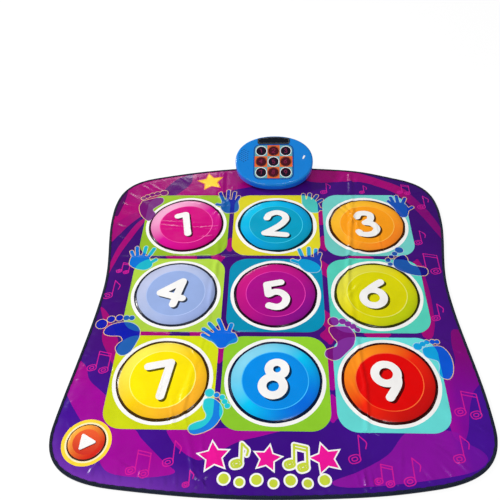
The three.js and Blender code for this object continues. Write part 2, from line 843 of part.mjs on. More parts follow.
function addPowerSwitch() {
  const z = baseRise + switchRise;
  const x = podX + switchX;
  const wallInside = baseBackY - baseWall;
  const nub = solid(block(
    [x - knobWidth / 2, wallInside - clearance - knobPlate / 2, z - knobHeight / 2],
    [x + knobWidth / 2, baseBackY + knobProud, z + knobHeight / 2]));
  const back = solid(block(
    [x - knobWidth / 2 - knobPlateLap, wallInside - clearance - knobPlate,
      z - knobHeight / 2 - knobPlateLap],
    [x + knobWidth / 2 + knobPlateLap, wallInside - clearance,
      z + knobHeight / 2 + knobPlateLap]));
  addPiece(model, 'power_knob', surface(nub.add(back)), colours.rubber, 0.6);
  const bodyY = wallInside - 2 * clearance - knobPlate;
  const body = block(
    [x - knobWidth / 2 - knobPlateLap, bodyY - switchBodyDepth, z - knobHeight],
    [x + knobWidth / 2 + knobPlateLap + switchTravel, bodyY, z + knobHeight]);
  addPiece(model, 'switch_body', body, colours.contact, 0.6);
}

function addMainBoard() {
  const bottom = baseFloorTop + mainBoardRise + clearance;
  const nearY = ribbonY + film + clearance;
  const farY = batteryY - batteryRadius - bayWall - mainBoardFarGap;
  const board = solid(block(
    [podX - mainBoardWidth / 2, nearY, bottom],
    [podX + mainBoardWidth / 2, farY, bottom + boardThickness]));
  const chips = [-1, 1].map((side) => {
    const x = podX + side * mainChipWidth;
    const y = (nearY + farY) / 2;
    return solid(block(
      [x - mainChipWidth / 2, y - mainChipWidth / 2, bottom + boardThickness / 2],
      [x + mainChipWidth / 2, y + mainChipWidth / 2, bottom + boardThickness + mainChipRise]));
  });
  addPiece(model, 'main_board', surface(joined([board, ...chips])), colours.board, 0.5);
}

function addRibbon() {
  const low = foamZ;
  const outline = [
    [ribbonY + ribbonFoot, low],
    [ribbonY + ribbonFoot, low + film],
    [ribbonY + film, low + film],
    [ribbonY + film, low + ribbonReach],
    [ribbonY, low + ribbonReach],
    [ribbonY, low],
  ].map(([y, z]) => new THREE.Vector2(y, z));
  const strip = plate(outline, [], -ribbonWidth / 2, ribbonWidth);
  const turn = new THREE.Matrix4().makeBasis(
    new THREE.Vector3(0, 1, 0), new THREE.Vector3(0, 0, 1), new THREE.Vector3(1, 0, 0));
  strip.applyMatrix4(turn).translate(podX, 0, 0);
  addPiece(model, 'ribbon_tail', strip, colours.film, 0.4);
}

function addMounting() {
  const places = mountScrewPlaces;
  const outline = rectanglePoints(podX, plateNearY + plateDepth / 2, plateWidth, plateDepth);
  const counterbore = places.map(([x, y]) => solid(rod(
    x, y, 0, foamZ + screwHead + clearance, screwHeadRadius + clearance)));
  const holes = places.map(
    ([x, y]) => solid(rod(x, y, 0, matTop, screwRadius + clearance)));
  const body = cut(solid(plate(outline, [], foamZ, foam)), [...counterbore, ...holes]);
  addPiece(model, 'mounting_plate', surface(body), colours.white, 0.6);
  places.forEach(([x, y], order) => {
    const screw = turned(x, y, [
      [0, foamZ],
      [screwHeadRadius, foamZ],
      [screwHeadRadius, foamZ + screwHead],
      [screwRadius, foamZ + screwHead],
      [screwRadius, foamZ + mountScrewLength],
      [0, foamZ + mountScrewLength],
    ], smallFacets);
    addPiece(model, `mount_screw_${order + 1}`, screw, colours.metal, 0.3, 0.9);
  });
}

function addCaseScrews() {
  caseScrewPlaces.forEach(([x, y], order) => {
    const under = -podSkirt - clearance;
    const screw = turned(x, y, [
      [0, under - screwHead],
      [screwHeadRadius, under - screwHead],
      [screwHeadRadius, under],
      [screwRadius, under],
      [screwRadius, under + caseScrewLength],
      [0, under + caseScrewLength],
    ], smallFacets);
    addPiece(podFrame, `case_screw_${order + 1}`, screw, colours.metal, 0.3, 0.9);
  });
}

function addFeet() {
  [['rubber_foot_left', -1], ['rubber_foot_right', 1]].forEach(([name, side]) => {
    const foot = rod(
      podX + (side * footSpacing) / 2, footY, 0, baseRise - clearance, footRadius, footFacets);
    addPiece(model, name, foot, colours.rubber, 0.9);
  });
}

addMatLayers();
addBinding();
pads.forEach(addPad);
addUpperCase();
addFace();
addSpeaker();
addLedBoard();
addLowerCase();
addBatteryDoor();
addBatteries();
addPowerSwitch();
addMainBoard();
addRibbon();
addMounting();
addCaseScrews();
addFeet();

export default model;
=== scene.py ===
"""A child's printed dance mat with its control pod, dressed round the fixed model of its parts."""

import math

import bmesh
import bpy
import numpy as np
from mathutils import Matrix, Vector
from mathutils.geometry import delaunay_2d_cdt


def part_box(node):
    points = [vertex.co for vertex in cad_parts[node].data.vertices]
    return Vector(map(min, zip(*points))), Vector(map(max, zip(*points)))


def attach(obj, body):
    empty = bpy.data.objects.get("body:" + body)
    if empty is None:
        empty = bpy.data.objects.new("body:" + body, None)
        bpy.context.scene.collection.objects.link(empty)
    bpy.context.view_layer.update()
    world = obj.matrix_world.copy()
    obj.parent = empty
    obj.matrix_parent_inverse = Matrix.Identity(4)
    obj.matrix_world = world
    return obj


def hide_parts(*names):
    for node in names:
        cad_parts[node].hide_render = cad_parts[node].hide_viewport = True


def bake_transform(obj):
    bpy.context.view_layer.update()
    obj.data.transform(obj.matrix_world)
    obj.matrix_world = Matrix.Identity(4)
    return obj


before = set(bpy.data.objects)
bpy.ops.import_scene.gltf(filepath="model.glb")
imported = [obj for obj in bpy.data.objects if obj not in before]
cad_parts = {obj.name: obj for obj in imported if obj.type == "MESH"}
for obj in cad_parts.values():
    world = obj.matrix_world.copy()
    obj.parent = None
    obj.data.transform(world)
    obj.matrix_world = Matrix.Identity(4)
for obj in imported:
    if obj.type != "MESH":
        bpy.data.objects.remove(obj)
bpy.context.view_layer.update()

bl_info = {
    "name": "Dance mat",
    "version": (1, 0, 0),
    "blender": (4, 5, 0),
    "location": "View3D > Sidebar > Dance mat",
    "description": "Builds a printed dance mat with ten press pads and a control pod",
    "category": "Object",
}

MM = 0.001
FULL_TURN = 2 * math.pi
NUMBERS = range(1, 10)


# Reading the fixed model

def node_points(name):
    """Every corner of a node of the fixed model."""
    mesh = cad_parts[name].data
    points = np.empty(len(mesh.vertices) * 3, np.float32)
    mesh.vertices.foreach_get("co", points)
    return points.reshape(-1, 3).astype(float)


def node_span(name):
    """The lowest and highest corner of a node's box."""
    low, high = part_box(name)
    return np.array(low), np.array(high)


def plan_loop(name):
    """The outer edge of a flat node without holes, seen from above, anticlockwise."""
    flat = np.unique(np.round(node_points(name)[:, :2], 6), axis=0)
    return flat[np.argsort(np.arctan2(flat[:, 1], flat[:, 0]))]


class PodPlane:
    """The tilted plane of the pod's face: u to the right, v up the face, w out of it."""

    def __init__(self):
        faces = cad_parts["face_panel"].data.polygons
        out = max(faces, key=lambda face: face.area).normal
        out = np.array(out if out.z > 0 else -out)
        right = np.array([1.0, 0.0, 0.0])
        self.axes = np.array([right, np.cross(out, right), out])
        self.origin = np.zeros(3)
        low, high = self.span("upper_case")
        self.origin = np.array([(low[0] + high[0]) / 2, (low[1] + high[1]) / 2, high[2]])
        self.half_width, self.half_depth = (high - low)[:2] / 2
        self.skirt = high[2] - low[2]

    def span(self, name):
        """A node's box, measured along u, v and w."""
        turned = node_points(name) @ self.axes.T - self.origin
        return turned.min(0), turned.max(0)

    def place(self, points):
        """Points given along u, v and w, in the object's own frame."""
        return (points + self.origin) @ self.axes


POD = PodPlane()
SKIN_LOW, SKIN_HIGH = node_span("top_skin")
BACKING_LOW, BACKING_HIGH = node_span("bottom_skin")
BINDING_LOW, BINDING_HIGH = node_span("edge_binding")
PAD_LOW, PAD_HIGH = node_span("pad_5_cover")
PAD_RADIUS = (PAD_HIGH[0] - PAD_LOW[0]) / 2
PAD_PITCH = node_span("pad_6_cover")[0][0] - PAD_LOW[0]
PAD_CROWN = PAD_HIGH[2] - SKIN_HIGH[2]
CROWN_SHOULDER = 0.055
LAP_SHARE = 0.72
START_LOW, START_HIGH = node_span("start_pad_cover")
START_RADIUS = (START_HIGH[0] - START_LOW[0]) / 2
START_PLACE = (START_LOW + START_HIGH)[:2] / 2


# Property groups

def length(name, description, default):
    """A length in metres that a user can change."""
    return bpy.props.FloatProperty(
        name=name, description=description, default=default, unit="LENGTH", precision=5)


def colour(name, description, red, green, blue):
    """A colour, written as it looks on a screen from 0 to 255."""
    return bpy.props.FloatVectorProperty(
        name=name, description=description, subtype="COLOR", size=3, min=0, max=1,
        default=screen(red, green, blue))


def screen(red, green, blue):
    """Screen values from 0 to 255 as light, from 0 to 1."""
    shares = np.array([red, green, blue]) / 255
    light = np.where(shares <= 0.04045, shares / 12.92, ((shares + 0.055) / 1.055) ** 2.4)
    return tuple(light.tolist())


class DANCEMAT_PG_sheet(bpy.types.PropertyGroup):
    """Sizes of the mat's layers and of the print on the top one."""

    square_side: length("Square", "Side of the printed square under each pad", 228 * MM)
    square_corner: length("Square corner", "Corner radius of the printed squares", 43 * MM)
    white_ring: length("White ring", "Outer radius of the white ring round a pad", 108 * MM)
    dark_ring: length("Dark ring", "Outer radius of the dark line round a pad", 100.2 * MM)
    bevel_outer: length("Bevel start", "Outer radius of the printed bevel", 94.2 * MM)
    bevel_inner: length("Bevel end", "Inner radius of the printed bevel", 71.5 * MM)
    highlight: length("Highlight", "Width of the light line inside the bevel", 2 * MM)
    numeral_height: length("Numeral", "Height of a numeral's centre line box", 100 * MM)
    numeral_stroke: length("Stroke", "Width of a numeral's stroke", 18.5 * MM)
    numeral_shadow: length("Shadow", "How far a numeral's shadow falls", 4.8 * MM)
    note_stroke: length("Note line", "Width of the lines of the notes", 2.4 * MM)
    print_edge: length("Print edge", "Width of the pale line round hands and feet", 1.5 * MM)
    start_ring: length("Start ring", "Outer radius of the ring round the start pad", 50 * MM)
    fold_height: length("Fold", "Height of the folds left from packing", 2.0 * MM)
    fold_width: length("Fold width", "Half width of a fold", 5 * MM)
    pucker_height: length("Pucker", "Height of the tallest small wrinkle", 1.5 * MM)
    lift: length("Lift", "How far the slack sheet stands over its foam", 0.5 * MM)
    cloth_grid: length("Cloth grid", "Distance between the points of the simulation", 9 * MM)
    cloth_frames: bpy.props.IntProperty(
        name="Frames", description="Length of the simulation", default=25)
    growth: bpy.props.FloatProperty(
        name="Growth", description="Share by which the sheet is too large", default=0.003)
    foundation: bpy.props.FloatProperty(
        name="Foundation", description="How firmly the foam holds the sheet", default=0.02)
    buckle_share: bpy.props.FloatProperty(
        name="Buckling", description="Share of the simulated height that is kept", default=0.5)
    grid: length("Grid", "Distance between the points of the sheet", 4.2 * MM)
    pad_grid: length("Pad grid", "Distance between the points of a pad", 3.2 * MM)
    stitch: length("Stitch", "Length of a stitch in the binding", 3 * MM)
    stitch_pitch: length("Stitch pitch", "Distance between stitches", 4.4 * MM)


class DANCEMAT_PG_print_colours(bpy.types.PropertyGroup):
    """Colours of the printed ground and of what is printed on it."""

    field: colour("Field", "Main colour of the ground", 68, 12, 146)
    dark_field: colour("Dark field", "Darker streaks of the ground", 50, 4, 114)
    # Painted sheen: a paler ground tone along the near left edge, standing in for a soft
    # reflection there
    painted_sheen: colour("Pale field", "Faded ground along the near left edge", 140, 66, 186)
    ribbon: colour("Ribbon", "Broad ribbons across the ground", 172, 0, 152)
    soft_ribbon: colour("Soft ribbon", "Paler ribbons across the ground", 146, 12, 160)
    note: colour("Note", "Lines of the notes", 212, 26, 150)
    white: colour("White", "Rings and numerals", 246, 244, 242)
    cream: colour("Cream", "Pale line round hands and feet", 255, 214, 150)
    pink: colour("Pink", "Row of stars", 236, 16, 150)
    lime: colour("Lime", "Row of drops", 196, 210, 60)
    gold: colour("Gold", "Ring round the start pad, and the lone star", 252, 216, 60)
    underside: colour("Underside", "Back and cut edges of the vinyl", 34, 30, 44)


class DANCEMAT_PG_pod_colours(bpy.types.PropertyGroup):
    """Colours of the control pod."""

    shell: colour("Shell", "Face of the upper half of the pod", 0, 126, 214)
    # Painted light: the side gets a deeper, brighter blue than the face, to match how the side is
    # lit
    skirt: colour("Skirt", "Side of the upper half of the pod", 0, 120, 255)
    # Painted shade: the dark blue of a thin sheet that stands in for the shadow in the groove
    # round the panel
    base: colour("Base", "Lower half of the pod", 0, 86, 204)
    trim: colour("Trim", "Thin frame round the panel", 0, 58, 150)
    cool_square: colour("Cool square", "Corner and middle squares of the panel", 96, 164, 172)
    warm_square: colour("Warm square", "Other squares of the panel", 224, 104, 44)
    ring: colour("Ring", "Rings round the windows of cool squares", 226, 240, 244)
    warm_ring: colour("Warm ring", "Rings round the windows of warm squares", 150, 70, 40)
    cool_window: colour("Cool window", "Windows of cool squares", 20, 14, 34)
    warm_window: colour("Warm window", "Windows of warm squares", 70, 14, 30)
    window_numeral: colour("Window numeral", "Numerals behind the windows", 176, 44, 92)
    badge: colour("Badge", "Bare plate over the panel", 14, 20, 30)
    lamp: colour("Lamp", "Power light", 244, 246, 248)


# Outlines in a plane, as arrays of points

def circle(x, y, radius, count=96):
    angles = np.linspace(0, FULL_TURN, count, endpoint=False)
    return np.stack([x + radius * np.cos(angles), y + radius * np.sin(angles)], axis=1)


def rounded_rectangle(x, y, width, depth, corner, steps=10):
    points = []
    for quarter, (side_x, side_y) in enumerate(((1, 1), (-1, 1), (-1, -1), (1, -1))):
        for i in range(steps + 1):
            angle = (quarter + i / steps) * math.pi / 2
            points.append((x + side_x * (width / 2 - corner) + corner * math.cos(angle),
                           y + side_y * (depth / 2 - corner) + corner * math.sin(angle)))
    return np.array(points)


def superellipse(half_width, half_depth, power, count=160):
    """An oval whose sides are the flatter the higher the power is."""
    unit = circle(0, 0, 1, count)
    return np.sign(unit) * np.abs(unit) ** (2 / power) * [half_width, half_depth]


def flow(points, steps=8, closed=False):
    """A smooth line through the points given."""
    points = np.array(points, float)
    if closed:
        padded = np.concatenate([points[-1:], points, points[:2]])
    else:
        padded = np.concatenate([2 * points[:1] - points[1:2], points,
                                 2 * points[-1:] - points[-2:-1]])
    line = []
    for a, b, c, d in zip(padded, padded[1:], padded[2:], padded[3:]):
        for t in np.arange(steps) / steps:
            line.append(0.5 * (2 * b + (c - a) * t + (2 * a - 5 * b + 4 * c - d) * t ** 2
                               + (3 * b - a - 3 * c + d) * t ** 3))
    return np.array(line if closed else [*line, points[-1]])


def normals_of(line, closed=False):
    """The direction to the left of a line at each of its points."""
    if closed:
        along = np.roll(line, -1, axis=0) - np.roll(line, 1, axis=0)
    else:
        along = np.gradient(line, axis=0)
    along = along / np.maximum(np.linalg.norm(along, axis=1, keepdims=True), 1e-12)
    return along[:, ::-1] * [-1, 1]


def grown(loop, distance):
    """An anticlockwise loop moved outwards by a distance."""
    return loop - normals_of(loop, closed=True) * distance


def band(line, width, end_steps=7):
    """The outline of a line drawn with a width and round ends; width may change along it."""
    line = np.array(line, float)
    half = np.broadcast_to(np.array(width, float) / 2, len(line))[:, None]
    left = normals_of(line)

    def cap(end, direction):
        """Points round an end of the line, from a direction on."""
        start = math.atan2(direction[1], direction[0])
        return [line[end] + half[end] * [math.cos(start + turn), math.sin(start + turn)]
                for turn in np.linspace(0, math.pi, end_steps)[1:-1]]

    return np.concatenate([line - left * half, cap(-1, -left[-1]), (line + left * half)[::-1],
                           cap(0, left[0])])


def signed_area(loop):
    """The area inside a loop, below nothing where the loop runs clockwise."""
    after = np.roll(loop, -1, axis=0)
    return float((loop[:, 0] * after[:, 1] - after[:, 0] * loop[:, 1]).sum() / 2)


def anticlockwise(loop):
    return loop if signed_area(loop) > 0 else loop[::-1]


def moved(points, x=0.0, y=0.0, turn=0.0, size=1.0):
    """Points scaled, turned and moved, in that order; turn is in degrees."""
    c, s = math.cos(math.radians(turn)), math.sin(math.radians(turn))
    return np.array(points, float) * size @ np.array([[c, s], [-s, c]]) + [x, y]


def turns_round(points, starts, stops):
    """How often the edges from starts to stops turn round each point."""
    x, y = points.T.copy()
    turns = np.zeros(len(points), int)
    for (ax, ay), (bx, by) in zip(starts, stops):
        side = (bx - ax) * (y - ay) - (x - ax) * (by - ay)
        turns += ((ay <= y) & (by > y) & (side > 0)).astype(int)
        turns -= ((ay > y) & (by <= y) & (side < 0)).astype(int)
    return turns


def inside(points, loop):
    """Which points lie inside a loop, even where the loop crosses itself."""
    found = np.zeros(len(points), bool)
    near = np.flatnonzero(((points > loop.min(0)) & (points < loop.max(0))).all(1))
    if len(near):
        found[near] = turns_round(points[near], loop, np.roll(loop, -1, axis=0)) != 0
    return found


def distance_to(points, line):
    """How far each point is from a closed line."""
    best = np.full(len(points), np.inf)
    for a, b in zip(line, np.roll(line, -1, axis=0)):
        along = b - a
        share = np.clip((points - a) @ along / max(along @ along, 1e-18), 0, 1)
        best = np.minimum(best, np.linalg.norm(points - a - share[:, None] * along, axis=1))
    return best


# Print: a list of outlines, each with its ink and how much of what is under it the ink covers

def plain(tone):
    return lambda points, middles: np.broadcast_to(np.array(tone[:]), (len(points), 3))


def mixed(low, high, share):
    """Tones part of the way from one to another, by a share for each point."""
    low, high = np.array(low), np.array(high)
    return low + (high - low) * share[:, None]


def shaded(low, high, middle, heading, reach, power=1.0):
    """Ink that turns from one tone into another over a length, along a heading."""
    def ink(points, middles):
        share = 0.5 + (points - middle) @ np.array(heading, float) / reach
        return mixed(low, high, np.clip(share, 0, 1) ** power)

    return ink


def printed(outline, ink, cover=1.0, rim=None):
    """One ink inside an outline, or inside any of a list of outlines; a rim is printed first,
    and shows only where the ink doesn't reach."""
    outlines = outline if isinstance(outline, list) else [outline]
    return {"outlines": [np.array(loop, float) for loop in outlines], "ink": ink,
            "cover": cover, "rim": rim}


def inside_any(points, loops):
    found = np.zeros(len(points), bool)
    for loop in loops:
        found |= inside(points, loop)
    return found


def darker(tone, share):
    return np.minimum(np.array(tone[:]) * share, 1)


def lighter(tone, share):
    return np.array(tone[:]) + (1 - np.array(tone[:])) * share


# Centre lines of the numerals: x and y at each point from the middle of the pad, as shares of
# their height
NUMERAL_SHARES = {
    1: [(-0.26, 0.32, -0.06, 0.39), (-0.05, 0.385, 0.08, -0.35)],
    2: [(-0.24, 0.24, -0.17, 0.38, 0.02, 0.46, 0.21, 0.37, 0.26, 0.20, 0.13, -0.01, -0.10, -0.20,
        -0.29, -0.34), (-0.29, -0.34, 0.26, -0.40)],
    3: [(-0.24, 0.28, -0.17, 0.41, -0.02, 0.44, 0.11, 0.37, 0.11, 0.20, 0.01, 0.09, -0.04, 0.06),
        (-0.02, 0.06, 0.14, 0.01, 0.24, -0.15, 0.17, -0.32, 0.0, -0.39, -0.17, -0.36, -0.23,
        -0.28)],
    4: [(0.12, 0.36, -0.37, 0.0), (-0.37, -0.01, 0.17, -0.17), (0.14, 0.37, -0.03, -0.36)],
    5: [(0.12, 0.35, -0.21, 0.27), (-0.21, 0.27, -0.17, -0.04), (-0.17, -0.04, -0.02, 0.04, 0.14,
        0.01, 0.25, -0.14, 0.20, -0.33, 0.04, -0.42, -0.15, -0.38)],
    6: [(0.12, 0.37, -0.08, 0.22, -0.25, 0.05, -0.33, -0.12)],
    7: [(-0.35, 0.30, 0.12, 0.40), (0.13, 0.40, 0.0, -0.42)],
    8: [],
    9: [(0.165, 0.20, 0.17, -0.03, 0.08, -0.22, -0.03, -0.39)],
}
# Round bowls of the numerals: middle and radius, as shares of their height
NUMERAL_BOWL_SHARES = {
    6: [(-0.09, -0.12, 0.24)],
    8: [(0.04, 0.27, 0.175), (-0.05, -0.15, 0.225)],
    9: [(-0.05, 0.18, 0.235)],
}


def numeral(number, x, y, height, stroke):
    """The outlines of a numeral drawn with a round pen, and the holes of its bowls."""
    outlines = []
    holes = []
    for shares in NUMERAL_SHARES[number]:
        line = np.reshape(shares, (-1, 2))
        line = flow(line, 7) if len(line) > 2 else line
        outlines.append(band(moved(line, x, y, size=height), stroke, 11))
    for across, up, radius in NUMERAL_BOWL_SHARES.get(number, []):
        centre = (x + across * height, y + up * height)
        outlines.append(circle(*centre, radius * height + stroke / 2, 56))
        holes.append(circle(*centre, radius * height - stroke / 2, 40))
    return outlines, holes


# Hands, in millimetres on the sheet: width of a finger, ink on the ground, ink on the squares,
# x and y round the palm, and for each finger its root and the middle of its tip
HAND_PRINTS = [
    (9.6, (14, 34, 158), (0, 90, 172), (-150, 330, -151, 306, -143, 293, -134, 287, -117, 287,
     -105, 295, -102, 309, -105, 330, -111, 339, -127, 343, -144, 340),
     [(-145, 333, -157, 369), (-134, 338, -134, 380), (-119, 338, -116, 372), (-110, 335, -104,
      354), (-146, 315, -163, 323)]),
    (9.4, (0, 112, 210), (0, 178, 200), (-365, 122, -370, 107, -368, 93, -356, 83, -343, 78, -327,
     76, -314, 84, -311, 97, -319, 110, -324, 121, -343, 128),
     [(-363, 121, -371, 140), (-353, 123, -359, 155), (-338, 125, -336, 156), (-326, 118, -314,
      150), (-321, 97, -304, 111)]),
    (10.0, (30, 66, 156), (66, 194, 188), (75, 338, 72, 325, 80, 308, 88, 296, 97, 289, 114, 290,
     120, 307, 116, 325, 106, 338, 90, 344),
     [(77, 333, 76, 363), (90, 338, 94, 365), (100, 334, 113, 358), (108, 325, 126, 340), (114,
      305, 122, 302)]),
    (9.4, (10, 56, 180), (10, 76, 180), (313, 323, 320, 307, 325, 290, 332, 274, 341, 270, 350,
     274, 356, 290, 358, 307, 352, 322, 333, 331),
     [(317, 322, 308, 335), (322, 324, 316, 350), (333, 325, 332, 355), (345, 325, 354, 346), (354,
      298, 369, 310)]),
    (9.4, (24, 62, 172), (4, 156, 210), (63, 115, 55, 103, 63, 86, 73, 75, 83, 70, 103, 71, 111,
     83, 113, 103, 108, 116, 85, 123, 68, 120),
     [(68, 118, 60, 148), (84, 121, 84, 153), (100, 118, 102, 147), (106, 112, 112, 134), (57, 103,
      42, 110)]),
    (9.6, (0, 102, 220), (0, 132, 208), (-147, -123, -150, -132, -137, -145, -125, -158, -113,
     -157, -103, -148, -88, -142, -85, -132, -92, -118, -105, -112, -120, -107, -137, -112),
     [(-145, -134, -164, -123), (-142, -122, -164, -106), (-134, -112, -151, -91), (-120, -106,
      -131, -79), (-107, -118, -101, -93)]),
]

# Feet, in millimetres on the sheet: ink on the ground, ink on the squares, x and y round the
# sole, and for each toe its middle and radius
FOOT_PRINTS = [
    ((114, 4, 112), (120, 38, 128), (-375, 328, -372, 337, -358, 343, -338, 350, -320, 350, -314,
     340, -318, 326, -331, 313, -339, 300, -329, 284, -331, 270, -342, 256, -355, 263, -368, 280,
     -376, 300, -378, 316),
     [(-317, 371, 11), (-335, 368, 8), (-349, 363, 7.5), (-362, 357, 7), (-372, 349, 6.5)]),
    ((12, 12, 126), (22, 80, 168), (292, 98, 295, 112, 305, 123, 320, 129, 328, 120, 330, 105, 338,
     95, 355, 90, 370, 85, 372, 73, 366, 62, 352, 60, 328, 65, 305, 77, 295, 87),
     [(312, 147, 10.5), (299, 134, 7), (289, 123, 6.5), (280, 112, 6.5), (284, 98, 6)]),
    ((8, 24, 168), (6, 88, 174), (-392, -115, -387, -103, -372, -93, -348, -88, -328, -92, -313,
     -105, -308, -123, -312, -143, -322, -170, -337, -180, -350, -174, -357, -160, -352, -148,
     -345, -140, -353, -128, -375, -127, -388, -123),
     [(-402, -94, 13), (-382, -80, 9), (-363, -76, 8.5), (-347, -76, 7), (-334, -76, 6.5)]),
    ((116, 12, 120), (128, 30, 150), (122, -110, 125, -98, 145, -96, 165, -98, 175, -112, 178,
     -128, 172, -148, 155, -168, 140, -183, 125, -187, 110, -177, 112, -162, 125, -155, 136, -150,
     137, -137, 128, -125),
     [(133, -82, 12), (153, -82, 8), (165, -89, 7.5), (176, -97, 7), (185, -105, 6.5)]),
    ((16, 126, 222), (20, 198, 210), (-148, -297, -145, -287, -130, -285, -115, -295, -107, -312,
     -110, -328, -122, -348, -140, -360, -160, -366, -172, -360, -172, -348, -160, -340, -143,
     -333, -140, -322, -147, -308),
     [(-137, -272, 9.5), (-122, -277, 6), (-110, -282, 6), (-104, -292, 6), (-98, -302, 6)]),
    ((0, 86, 212), (0, 160, 222), (322, -165, 325, -153, 342, -148, 362, -148, 373, -158, 380,
     -177, 380, -200, 375, -220, 365, -232, 352, -228, 348, -217, 352, -200, 350, -187, 338, -182,
     327, -177),
     [(313, -149, 9.5), (325, -142, 6.5), (335, -137, 6), (347, -136, 6), (357, -136, 5.5)]),
]

# Notes: place in millimetres, height, one stem or two
NOTES = [
    (-386, 66, 36, 2), (-396, -18, 60, 1), (-392, -222, 54, 2), (-268, -452, 52, 2),
    (-198, -434, 56, 1), (-162, -474, 34, 1), (140, 366, 48, 1), (244, 366, 36, 1),
    (350, 366, 40, 2), (402, 302, 56, 1), (372, 166, 54, 1), (368, 72, 66, 2),
    (374, -78, 52, 1), (382, -318, 60, 2), (360, -418, 60, 1), (162, -422, 62, 1),
    (200, -462, 42, 2), (260, -464, 58, 1),
]

# Ribbons of the printed ground: ink, then x, y and width at each point in millimetres
RIBBONS = [
    ("ribbon", (-470, 250, 60, -418, 320, 92, -340, 372, 150, -240, 400, 150, -150, 430, 110, -60,
     452, 100, 60, 462, 60, 120, 446, 60, 200, 444, 50, 250, 432, 36, 290, 413, 32, 340, 381, 32,
     372, 335, 28, 402, 277, 26, 422, 222, 20, 434, 180, 8)),
    ("field", (-248, 452, 10, -262, 425, 44, -286, 392, 48, -315, 350, 30, -330, 325, 6)),
    ("dark_field", (-428, 420, 10, -434, 350, 26, -436, 280, 12)),
    ("soft_ribbon", (-425, 400, 10, -370, 440, 26, -280, 466, 26, -200, 474, 12)),
    *[("ribbon", points) for points in (
        (-354, 266, 6, -366, 244, 16, -384, 202, 18, -402, 150, 16, -413, 100, 12, -418, 62, 4),
        (-118, 186, 10, -120, 166, 34, -118, 148, 14),
        (-276, 122, 10, -246, 118, 62, -206, 118, 14),
        (-160, 124, 12, -146, 116, 36, -134, 118, 12),
        (-314, -118, 8, -290, -122, 56, -246, -120, 14),
        (-192, -116, 8, -180, -122, 40, -166, -122, 8),
        (-118, -152, 6, -120, -176, 40, -122, -196, 8),
        (126, 306, 10, 124, 280, 40, 120, 246, 14),
        (122, 196, 8, 120, 172, 38, 126, 146, 8),
        (116, 106, 8, 120, 82, 36, 126, 56, 8),
        (114, -52, 8, 120, -78, 34, 122, -104, 10),
        (118, -104, 10, 120, -120, 40, 122, -140, 12),
        (116, -160, 8, 122, -200, 40, 120, -256, 14),
        (118, -276, 8, 122, -302, 40, 116, -332, 10),
        (186, 116, 8, 212, 118, 44, 240, 116, 10),
        (202, -118, 8, 228, -122, 46, 254, -118, 10),
        (352, 112, 8, 350, 98, 22, 354, 66, 6),
        (360, 66, 4, 358, 20, 14, 356, -30, 18, 346, -80, 32, 340, -116, 26),
    )],
]
# Broad patches of the printed ground: ink, then x and y round the outline in millimetres
PATCHES = [
    ("ribbon", (-440, -196, -414, -208, -396, -246, -352, -286, -346, -330, -326, -352, -284, -356,
     -262, -380, -214, -424, -190, -446, -240, -456, -304, -452, -332, -436, -352, -400, -386,
     -352, -428, -296, -444, -262)),
    ("ribbon", (-414, -44, -398, -92, -392, -138, -374, -172, -352, -204, -352, -150, -372, -104,
     -392, -64)),
    ("ribbon", (-214, -352, -150, -354, -60, -350, 20, -352, -20, -366, -70, -380, -112, -404,
     -146, -420, -182, -402, -204, -380)),
    ("ribbon", (396, -104, 418, -110, 424, -170, 430, -232, 410, -262, 394, -300, 380, -352, 364,
     -374, 348, -352, 350, -262, 360, -226, 386, -190, 388, -140)),
    ("soft_ribbon", (266, -352, 352, -352, 368, -372, 398, -392, 404, -412, 372, -434, 300, -450,
     200, -464, 130, -468, 108, -458, 160, -436, 218, -402)),
    ("ribbon", (-460, 330, -400, 330, -350, 296, -372, 268, -398, 232, -418, 196, -434, 170, -450,
     176, -460, 250)),
]

# A row of own motifs along the near edge: kind, place in millimetres, half height, turn
NEAR_MOTIFS = [
    ("star", -118, -412, 30, 8), ("note", -66, -408, 52, 1), ("star", -14, -414, 26, -10),
    ("note", 36, -408, 50, 2), ("star", 98, -412, 30, 16), ("drop", -96, -456, 10, 0),
    ("drop", -66, -462, 8, 0), ("drop", -34, -457, 10, 0), ("drop", -2, -463, 8, 0),
    ("drop", 30, -457, 10, 0), ("drop", 62, -462, 8, 0), ("drop", 94, -455, 10, 0),
]
MOTIF_MARGIN = 3.4 * MM
MOTIF_LINE = 4.6 * MM


def star(x, y, reach, turn, points=5):
    """The outline of a star whose waist is half as wide as its points reach."""
    corners = []
    for i in range(2 * points):
        angle = math.radians(turn + 90) + i * math.pi / points
        radius = reach / (1 + i % 2)
        corners.append((x + radius * math.cos(angle), y + radius * math.sin(angle)))
    return np.array(corners)


def note_lines(height, stems):
    """The centre lines of an open note: head, stem and flag or beam, from its lowest left."""
    head = height * 0.16
    heads = [(head, head), (height * 0.66, height * 0.05)][:stems]
    lines = []
    for x, y in heads:
        for wide, tall, power, count in ((1.15, 0.85, 2.6, 20), (0.55, 0.38, 2.4, 14)):
            oval = moved(superellipse(head * wide, head * tall, power, count), x, y, turn=18)
            lines.append(np.concatenate([oval, oval[:1]]))
    tops = [(x + head * 1.05, y + height * 0.80) for x, y in heads]
    for (x, y), top in zip(heads, tops):
        lines.append(np.array([(x + head * 1.05, y + head * 0.3), top]))
    if stems == 1:
        flag = [(0, 0), (0.12, -0.12), (0.24, -0.26), (0.20, -0.46)]
        lines.append(flow(np.array(flag) * height + tops[0], 5))
    else:
        lines += [np.array(tops), np.array(tops) - [0, height * 0.13]]
    return lines


# Relief: how far the vinyl stands over its flat level

